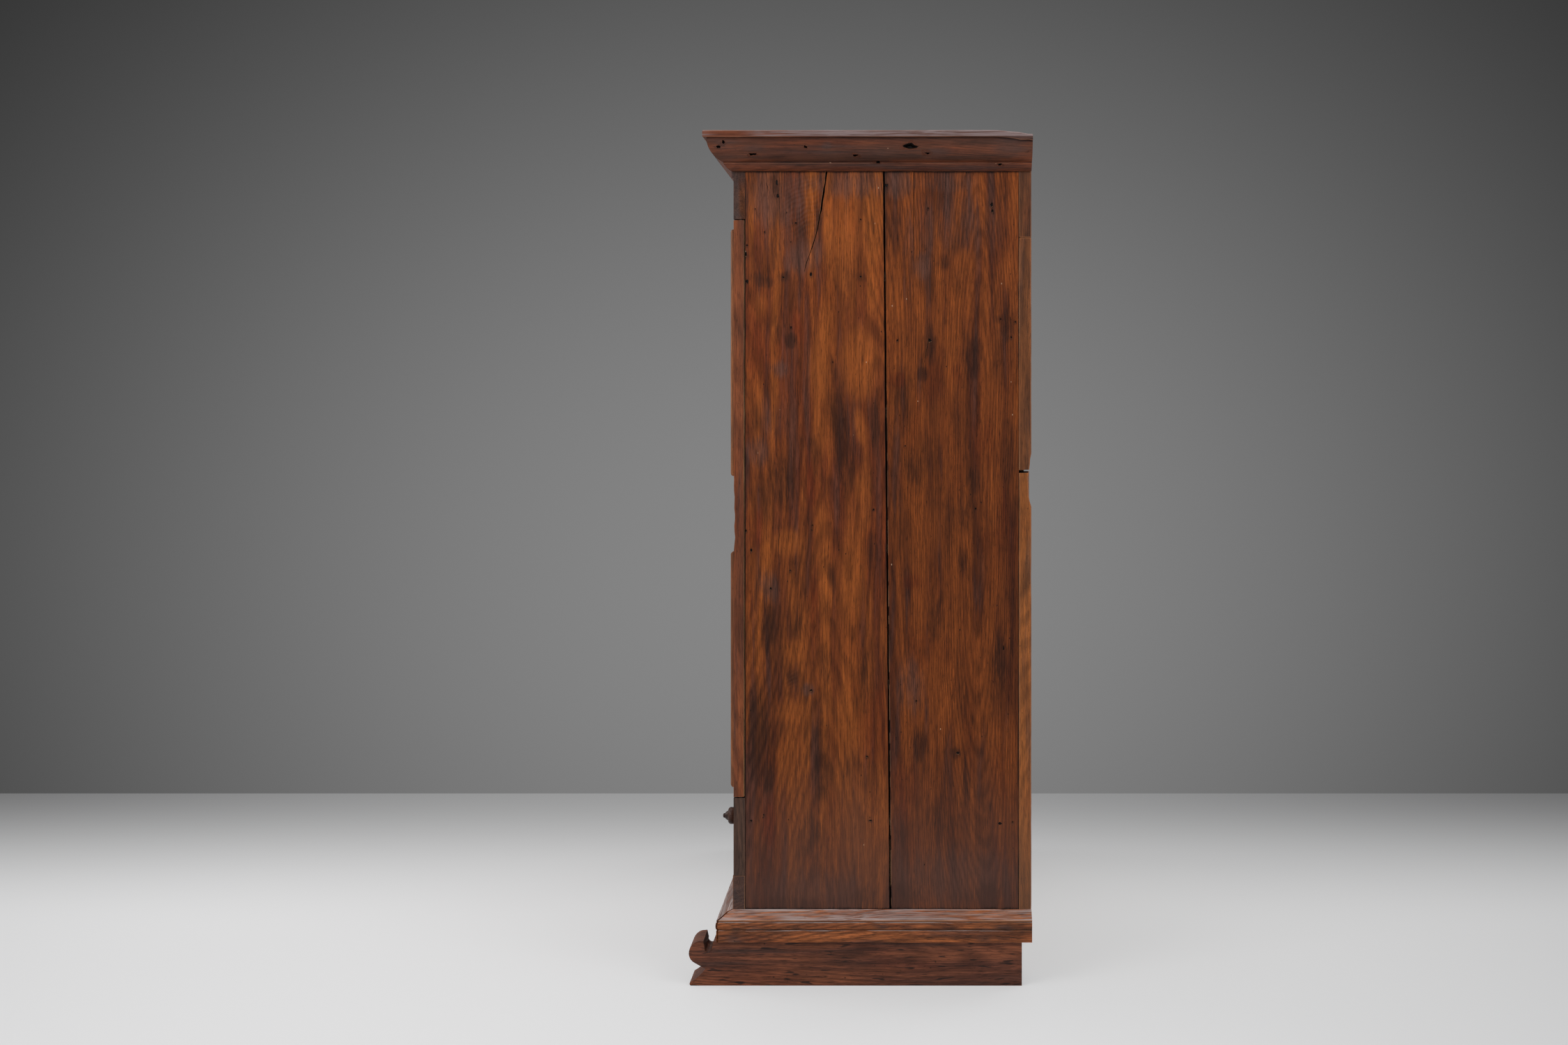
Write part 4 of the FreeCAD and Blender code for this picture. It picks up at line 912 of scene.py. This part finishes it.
for place, seed in (("front", 0.13), ("rear", 0.59)):
    wood = waxed("side_left_%s_wood" % place, "z", *WAX[place], seed=seed, **SIDE_LOOKS)
    part = "side_%s_board_left" % place
    piece = side_board(part, -1, BOARD_EDGES[place], wood, COARSE)
    dice = random.Random(part)
    marks = {kind: [] for kind in KINDS}
    for _ in range(64):
        row = (dice.uniform(1070, 1460), dice.uniform(250, 1300), dice.uniform(8, 30),
               dice.uniform(14, 70), dice.uniform(0.4, 0.95))
        marks[dice.choice(("soot", "soot", "glow", "glow", "red", "film"))].append(row)
    mark(piece.data, marks, BOARD_EDGES[place])

# The levels inside: planks of raw wood let into the sides' grooves, from the boards under the
# drawer to the top shelf, with the battens that carry and guide the drawer nailed below.
for part in ("bottom_boards", "floor_boards", "shelf_1", "shelf_2", "shelf_3", "shelf_4"):
    worked(part, "x", raw_wood_x, sway=0.0004, step=0.12, edge=-0.5)
raw_wood_y = raw_wood("y")
for part in ("drawer_runners", "drawer_guides", "drawer_stops"):
    worked(part, "y", raw_wood_y, step=0.12)

# The back: wide raw boards between two waxed stiles, nailed over the rear edges of the sides.
# The right stile is pieced from three lengths and chipped where the lower two meet.
back_wood = waxed("back_wood", "z", (134, 104, 78), (112, 86, 64), (80, 60, 48), (98, 86, 74),
                  gloss=(0.62, 0.88), relief=1.5, pale_arris=(150, 124, 98))
worked("back_boards", "z", back_wood, arris=0.0026, step=0.1, edge=-0.9)
stile_wood = waxed("stile_wood", "z", (112, 65, 34), (79, 45, 26), (50, 31, 23), (68, 51, 44),
                   grimy=0.5, relief=1.6, patchy=1.2)
pale_stile_wood = waxed("pale_stile_wood", "z", (142, 82, 37), (100, 56, 29), (58, 35, 24),
                        (80, 60, 48), relief=1.6, dirty_below=0.5)
REAR_PLANE = 0.358
STILE_INNER_X = 0.6
STILE_JOINT = 1.0723
CHIP_LOW, CHIP_TOP = on_side(1480, 726)[1], on_side(1480, 655)[1]


def chipped(here, moved):
    """The rear arris is split away by up to 9 mm around the joint, which gapes outside."""
    on_arris = here.y > REAR_PLANE - 0.004 and here.x > STILE_INNER_X
    if on_arris and CHIP_LOW < here.z < CHIP_TOP:
        share = math.sin(math.pi * (here.z - CHIP_LOW) / (CHIP_TOP - CHIP_LOW)) ** 0.6
        deep = 0.006 + 0.004 * noise.noise(here * 60) + 0.002 * noise.noise(here * 170)
        moved.y -= deep * share
    if here.x > SIDE_PLANE - 0.02 and abs(here.z - STILE_JOINT) < 0.0032:
        gape = 0.0017 + 0.0014 * noise.noise(here * 90)
        moved.z += math.copysign(gape, here.z - STILE_JOINT)
    return moved


for place, wood, step, shape in (
        ("right_lower", pale_stile_wood, 0.012, chipped),
        ("right_middle", stile_wood, 0.012, chipped),
        ("right_upper", stile_wood, 0.02, None),
        ("left", stile_wood, 0.03, None)):
    worked("rear_stile_" + place, "z", wood, arris=0.002, sway=0.0008, step=step, shape=shape,
           within=raw_wood_z)

# The front of the case: frieze, drawer stiles and rails of the same waxed wood, nailed to the
# front edges of the sides. They are painted darker than the sides, as shade.
front_woods = {
    grain: waxed("front_wood_" + grain, grain, (110, 64, 38), (84, 50, 34), (48, 30, 24),
                 (62, 49, 46), grimy=0.55, gloss=(0.42, 0.62), pale_arris=(116, 82, 62))
    for grain in "xz"}
# The drawer stiles' outer sides are a darker copy of it, painted shade.
front_edge_shaded = waxed("front_edge_shaded_z", "z", (84, 58, 44), (66, 47, 38), (44, 31, 26), (64, 52, 46),
                   grimy=0.6, gloss=(0.42, 0.62), pale_arris=(100, 76, 60))
for part in ("bottom_rail", "waist_rail", "frieze_board"):
    worked(part, "x", front_woods["x"], arris=0.0018, sway=0.0006, step=0.03, within=raw_wood_x)
for part in ("drawer_stile_right", "drawer_stile_left"):
    worked(part, "z", front_woods["z"], arris=0.0018, sway=0.0006, step=0.02, within=raw_wood_z,
           beside=front_edge_shaded)

# The base moulding: three mitred lengths nailed around the foot of the case, standing on the
# runners. The front length is 4 mm prouder than the returns.
BASE_LOW = 0.092
BASE_OUT, BASE_TALL, BASE_STEP = 0.030, 0.063, 0.004
RAIL_FACE_Y = -0.2675
base_section = section(BASE_OUT, BASE_TALL, (0.0, 0.0), (
    (0.95, 0.0),
    (0.95, 0.385),
    (0.9, 0.4),
    (0.9, 0.42),
    (0.965, 0.44),
    ((1.0, 0.545), (0.965, 0.65)),
    (0.905, 0.665),
    (0.905, 0.685),
    ((0.94, 0.71), (0.905, 0.735)),
    (0.86, 0.745),
    ((0.55, 0.845), (0.26, 0.955)),
    (0.05, 0.99),
    (0.0, 1.0),
), 5)
base_palette = (142, 80, 42), (100, 56, 34), (50, 31, 25), (74, 56, 52)
# The pale dust on the slope also stands for its painted sheen.
base_looks = dict(relief=1.4, gloss=(0.26, 0.46), pale_arris=(186, 132, 96), dust_and_sheen=(182, 164, 158),
                  dust_and_sheen_least=0.0, grimy=0.6, fleck=1.6)
base_x = waxed("base_wood_x", "x", *base_palette, **base_looks)
base_y = waxed("base_wood_y", "y", *base_palette, marks=True, **base_looks)
BASE_MARKS = {
    "soot": [
        (1056, 1334, 9, 5, 1.0), (1142, 1332, 8, 3, 0.8), (1230, 1332, 14, 3, 0.8),
        (1300, 1332, 10, 3, 0.8), (1362, 1332, 10, 4, 0.9), (1410, 1333, 12, 3, 0.8),
        (1118, 1346, 9, 6, 0.6), (1232, 1344, 3, 4, 0.8), (1340, 1347, 16, 8, 0.6),
        (1380, 1347, 16, 8, 0.7), (1440, 1348, 12, 8, 0.8),
    ],
    "glow": [
        (1110, 1330, 12, 3, 0.8), (1326, 1330, 14, 3, 0.7), (1390, 1330, 12, 3, 0.95),
        (1140, 1346, 30, 7, 0.9), (1200, 1346, 36, 6, 0.8), (1290, 1347, 30, 7, 0.6),
        (1462, 1347, 8, 8, 0.7), (1100, 1320, 30, 4, 0.6),
    ],
    "film": [
        (1082, 1333, 9, 4, 0.8), (1265, 1331, 14, 4, 0.9), (1440, 1331, 14, 4, 0.8),
        (1052, 1347, 16, 9, 0.9), (1410, 1347, 20, 8, 0.9), (1078, 1312, 9, 6, 0.8),
        (1470, 1316, 8, 6, 0.8),
    ],
    "red": [
        (1190, 1331, 20, 3, 0.7), (1466, 1330, 10, 3, 0.7), (1080, 1348, 16, 8, 0.6),
    ],
}
bm = bmesh.new()
proud = [(u if u > 0 else -BASE_STEP, v) for u, v in base_section]
run(bm, proud, (-SIDE_PLANE, RAIL_FACE_Y - BASE_STEP, BASE_LOW), (SIDE_PLANE * 2, 0, 0),
    (0, -1, 0), mitres=(1, 1), sway=0.0006)
stand_for(bm, "base_moulding_front", [base_x], 45)
for hand, side in HANDS:
    bm = bmesh.new()
    run(bm, base_section, (side * SIDE_PLANE, RAIL_FACE_Y, BASE_LOW),
        (0, REAR_PLANE - RAIL_FACE_Y, 0), (side, 0, 0), mitres=(1, 0), sway=0.0006,
        seed=side * 5, step=0.008)
    piece = stand_for(bm, "base_moulding_" + hand, [base_y], 45)
    mark(piece.data, BASE_MARKS, out=BASE_OUT)

# The cornice: three mitred lengths of one big section, nailed around the top of the case, with a
# strip under the front one. Its upper edge is knocked, and its lip grey with dust and painted
# sheen; its arrises carry painted highlights and its hollows painted shade.
CORNICE_LOW = 1.701
CORNICE_OUT, CORNICE_TALL = 0.060, 0.079
COVE_OUT = 0.044
STRIP_OUT, STRIP_TALL = 0.004, 0.013
FRONT_FACE_Y = -0.266
WORN_LENGTH, WORN_DROP = 0.085, 0.011
cornice_section = section(CORNICE_OUT, CORNICE_TALL, (0.0, 0.0), (
    (0.083, 0.0),
    ((0.19, 0.06), (0.333, 0.19)),
    (0.333, 0.215),
    ((0.69, 0.418), (0.867, 0.77)),
    (0.867, 0.82),
    (0.96, 0.82),
    ((0.992, 0.828), (1.0, 0.852)),
    (1.0, 0.962),
    ((0.985, 0.989), (0.95, 1.0)),
    (0.0, 1.0),
), 8)
strip_section = section(STRIP_OUT, STRIP_TALL, (0.0, 0.0), (
    (0.8, 0.0), (1.0, 0.2), (1.0, 1.0), (0.0, 1.0)))
cornice_palette = (112, 58, 34), (76, 43, 31), (42, 28, 24), (64, 50, 48)
# The lip is painted grey, as dust and sheen, whichever way it faces.
cornice_looks = dict(grimy=0.5, relief=1.3, gloss=(0.3, 0.5), pale_arris=(158, 108, 82), fleck=0.9,
                     patchy=0.8, dust_and_sheen=(130, 112, 110), dust_and_sheen_above=1.7665, dust_and_sheen_least=0.2)
cornice_x = waxed("cornice_wood_x", "x", *cornice_palette, **cornice_looks)
cornice_y = waxed("cornice_wood_y", "y", *cornice_palette, marks=True, **cornice_looks)
# Soot low on the cove is painted shade where it turns down; glow on the lip and high on the cove is
# painted highlight.
CORNICE_MARKS = {
    "soot": [
        (1400, 206, 40, 4, 0.7), (1250, 226, 44, 5, 0.8), (1300, 224, 30, 5, 0.9),
        (1100, 226, 50, 4, 0.6), (1400, 224, 60, 6, 0.8), (1440, 228, 40, 5, 0.7),
        (1140, 234, 20, 3, 0.8),
    ],
    "glow": [
        (1048, 193, 46, 6, 1.0), (1150, 206, 40, 3, 0.7), (1240, 207, 30, 3, 0.8),
    ],
    "film": [
        (1040, 209, 22, 7, 0.7), (1080, 212, 20, 5, 0.8), (1187, 209, 7, 6, 1.0),
        (1345, 218, 24, 6, 0.7), (1180, 218, 36, 4, 0.5), (1450, 212, 30, 14, 0.9),
        (1400, 240, 50, 4, 0.7),
    ],
    "red": [
        (1110, 203, 60, 3, 0.9), (1190, 204, 60, 4, 1.0), (1270, 204, 50, 4, 0.9),
        (1330, 206, 40, 3, 0.6), (1120, 239, 60, 3, 0.6), (1220, 239, 40, 3, 0.7),
        (1330, 239, 30, 3, 0.5),
    ],
}
COVE_HOLES = [
    (1306, 210, 19, 9, 8, 0.047), (1080, 220, 10, 8, 6, 0.036), (1228, 222, 7, 6, 5, 0.034),
    (1156, 211, 5, 4, 3, 0.046), (1038, 204, 5, 5, 3, 0.05), (1031, 211, 6, 4, 3, 0.046),
    (1331, 219, 7, 5, 3, 0.037), (1435, 236, 6, 4, 3, 0.019), (1475, 217, 4, 3, 3, 0.038),
    (1260, 233, 7, 4, 2, 0.021),
]
bm = bmesh.new()
run(bm, cornice_section, (-SIDE_PLANE, FRONT_FACE_Y, CORNICE_LOW), (SIDE_PLANE * 2, 0, 0),
    (0, -1, 0), mitres=(1, 1), sway=0.0008, wear_and_light=2.4)
run(bm, strip_section, (-SIDE_PLANE, FRONT_FACE_Y, CORNICE_LOW - STRIP_TALL),
    (SIDE_PLANE * 2, 0, 0), (0, -1, 0), sway=0.0003)
stand_for(bm, "cornice_front", [cornice_x], 45)
for hand, side in HANDS:
    bm = bmesh.new()
    run(bm, cornice_section, (side * SIDE_PLANE, FRONT_FACE_Y, CORNICE_LOW),
        (0, REAR_PLANE - FRONT_FACE_Y, 0), (side, 0, 0), mitres=(1, 0), sway=0.0008,
        seed=side * 9, step=0.008, wear_and_light=2.4, reach=0.0013)
    for vert in bm.verts:
        worn = (vert.co.y - REAR_PLANE) / WORN_LENGTH + 1
        if worn > 0 and vert.co.z > CORNICE_LOW + 0.06:
            out = (abs(vert.co.x) - SIDE_PLANE) / CORNICE_OUT
            uneven = 0.8 + 0.4 * noise.noise(vert.co * 50)
            vert.co.z -= WORN_DROP * worn ** 1.6 * max(0.0, out) * uneven
    piece = stand_for(bm, "cornice_" + hand, [cornice_y, cornice_y, hole_dark], 45)
    if side > 0:
        bite_out(piece, [pit(*hole, slope=0.004) for hole in COVE_HOLES])
    mark(piece.data, CORNICE_MARKS, out=COVE_OUT)

# The top: three raw boards nailed down on the sides inside the cornice, grey with dust.
# Their faces are left as they came from the saw.
top_wood = waxed("top_wood", "x", (132, 108, 88), (112, 92, 76), (84, 68, 58), (110, 100, 92),
                 gloss=(0.7, 0.9), relief=1.4, dust_and_sheen=(138, 128, 120), dust_and_sheen_least=0.5)
worked("top_boards", "x", top_wood, arris=0.0022, step=0.08, edge=-0.8)

# The doors: two wide boards each, waxed outside only and held by ledges nailed behind, with
# mitred mouldings nailed on to make two panels of the face. They turn on pins let into their ends.
DOOR_FACE_Y = -0.266
DOOR_ARRIS_X = 0.675
HANDLED_LOW, HANDLED_TALL = 0.89, 0.18
PANEL_XS = (0.0195, 0.662)
PANEL_ZS = {"lower": (0.408, 0.90241), "upper": (1.06241, 1.581)}
door_wood = waxed("door_wood", "z", (132, 71, 38), (98, 52, 31), (54, 31, 23), (76, 55, 48),
                  pale_arris=(154, 98, 68), gloss=(0.38, 0.6), painted_light_heights=(0.8, 2.1))
stick_z, stick_x = (
    waxed("stick_wood_" + grain, grain, (140, 84, 48), (106, 60, 37), (58, 36, 27), (80, 60, 52),
          relief=1.2, pale_arris=(178, 130, 92), gloss=(0.38, 0.6)) for grain in "zx")
door_moulding = section(0.038, 0.008, (0.0, 0.0), (
    (0.0, 0.5),
    ((0.087, 0.867), (0.2, 1.0)),
    (0.42, 1.0),
    (0.46, 0.8),
    ((0.66, 0.62), (0.82, 0.36)),
    (0.88, 0.36),
    (1.0, 0.14),
    (1.0, 0.0),
), 5)


def handled(here, moved):
    """The outer arris is worn wavy between the panels, where the door has been handled."""
    on_arris = abs(here.x) > DOOR_ARRIS_X and here.y < DOOR_FACE_Y + 0.004
    if on_arris and 0 < here.z - HANDLED_LOW < HANDLED_TALL:
        share = math.sin(math.pi * (here.z - HANDLED_LOW) / HANDLED_TALL) ** 0.5
        wave = 0.5 + 0.5 * math.sin(here.z * 150) + 0.6 * noise.noise(here * 40)
        moved.y += (0.001 + 0.0022 * max(0.0, wave)) * share
    return moved


for hand, side in HANDS:
    for board, step, shape in (("inner", 0.03, None), ("outer", 0.012, handled)):
        worked("door_%s_%s_board" % (hand, board), "z", door_wood, arris=0.0018, sway=0.0006,
               step=step, shape=shape, within=raw_wood_z)
    worked("door_%s_ledges" % hand, "x", raw_wood_x, arris=0.002)
    for panel, (low, high) in PANEL_ZS.items():
        left, right = sorted(side * x for x in PANEL_XS)
        corners = (left, low), (right, low), (right, high), (left, high)
        bm = bmesh.new()
        for k in range(4):
            (x0, z0), (x1, z1) = corners[k - 1], corners[k]
            along = Vector((x1 - x0, 0, z1 - z0))
            inward = along.cross((0, 1, 0)).normalized()
            before = len(bm.faces)
            run(bm, door_moulding, (x0, DOOR_FACE_Y, z0), along, inward, mitres=(-1, -1),
                seed=k * 7 + low, up=(0, -1, 0))
            for face in list(bm.faces)[before:]:
                face.material_index = int(abs(along.x) > abs(along.z))
        stand_for(bm, "door_%s_%s_moulding" % (hand, panel), [stick_z, stick_x], 45)


# The ironwork: pins and straps in the doors' ends, the plates that take them, the box lock with
# its bolt, key and plate, and the left door's bolt in its staples. All of it is forged and dark.
def forged(name, colour, rust, gloss=(0.38, 0.62)):
    """Forged iron, hammered, stained with rust and rubbed bright on its arrises."""
    paint = Paint(name)
    put, over = paint.put, paint.over
    place = put("TexCoord").outputs["Object"]
    hammer = put("TexNoise", {"Vector": place, "Scale": 160.0, "Detail": 3.0}).outputs[0]
    stain = put("TexNoise", {"Vector": place, "Scale": 60.0, "Detail": 5.0, "Roughness": 0.7})
    stain = stain.outputs[0]
    amount = paint.ramp(stain, 0.5, 0.72)
    shade = over(amount, tint(*colour), tint(*rust))
    shade = over(paint.layer("wear_and_light"), shade, tint(120, 112, 102))
    rough = put("MapRange", {0: stain, 1: 0.3, 2: 0.7, 3: gloss[0], 4: gloss[1]}).outputs[0]
    metal = put("MapRange", {0: amount, 1: 0.0, 2: 1.0, 3: 0.9, 4: 0.25}).outputs[0]
    bump = put("Bump", {"Height": hammer, "Strength": 0.4, "Distance": 0.0006}).outputs[0]
    return paint.finish(put("BsdfPrincipled", {"Base Color": shade, "Roughness": rough,
                                               "Metallic": metal, "Normal": bump}))


iron = forged("forged_iron", (70, 66, 62), (84, 54, 38))
for part in ("door_right_pivots", "door_left_pivots", "pivot_plates", "lock_case", "lock_bolt",
             "escutcheon", "door_left_bolt", "door_left_staples"):
    worked(part, "z", iron, arris=0.0003, sway=0.0, step=1.0)
key_iron = forged("key_iron", (96, 90, 84), (80, 56, 42), (0.28, 0.5))
worked("key", "y", key_iron, arris=0.0002, sway=0.00005, step=1.0)

# The drawer: a thick waxed front, nailed to thin raw sides, back and bottom, with two turned
# knobs that are tenoned into it.
KNOB_X, KNOB_Z, KNOB_OUT, KNOB_RADIUS = 0.325, 0.284, 0.053, 0.019
KNOB_FACETS = 40
drawer_wood = waxed("drawer_wood", "x", (122, 68, 39), (92, 52, 34), (52, 32, 25), (76, 58, 50),
                    grimy=0.45, gloss=(0.4, 0.62))
worked("drawer_front", "x", drawer_wood, arris=0.0018, sway=0.0006, step=0.03, within=raw_wood_x)
for part, grain, wood, step in (
        ("side_right", "y", raw_wood_y, 0.08), ("side_left", "y", raw_wood_y, 0.08),
        ("back", "x", raw_wood_x, 0.08), ("bottom", "x", raw_wood_x, 0.12)):
    worked("drawer_" + part, grain, wood, step=step)
knob_wood = waxed("knob_wood", "y", (78, 50, 38), (56, 37, 30), (34, 25, 22), (50, 41, 38),
                  gloss=(0.25, 0.42))
knob_section = section(KNOB_OUT, KNOB_RADIUS, (0.0, 0.72), (
    (0.08, 0.72),
    ((0.26, 0.4), (0.45, 0.62)),
    ((0.51, 0.92), (0.62, 1.0)),
    ((0.72, 0.95), (0.78, 0.6)),
    (0.88, 0.42),
    (0.92, 0.27),
    ((0.975, 0.24), (1.0, 0.12)),
    (1.0, 0.01),
), 6)
bm = bmesh.new()
for side in (1, -1):
    rings = []
    for out, radius in knob_section:
        ring = []
        for k in range(KNOB_FACETS):
            turn = math.tau * k / KNOB_FACETS
            x, z = math.cos(turn), math.sin(turn)
            worn = radius * (1 - 0.012 * noise.noise(Vector((x, z, out * 30 + side))))
            place = (side * KNOB_X + x * worn, DOOR_FACE_Y - out, KNOB_Z + z * worn)
            ring.append(bm.verts.new(place))
        rings.append(ring)
    for near, far in zip(rings, rings[1:]):
        for k in range(KNOB_FACETS):
            bm.faces.new((near[k - 1], near[k], far[k], far[k - 1]))
    bm.faces.new(rings[0])
    bm.faces.new(rings[-1])
bmesh.ops.recalc_face_normals(bm, faces=bm.faces)
stand_for(bm, "drawer_knobs", [knob_wood], 40)

bpy.context.view_layer.update()
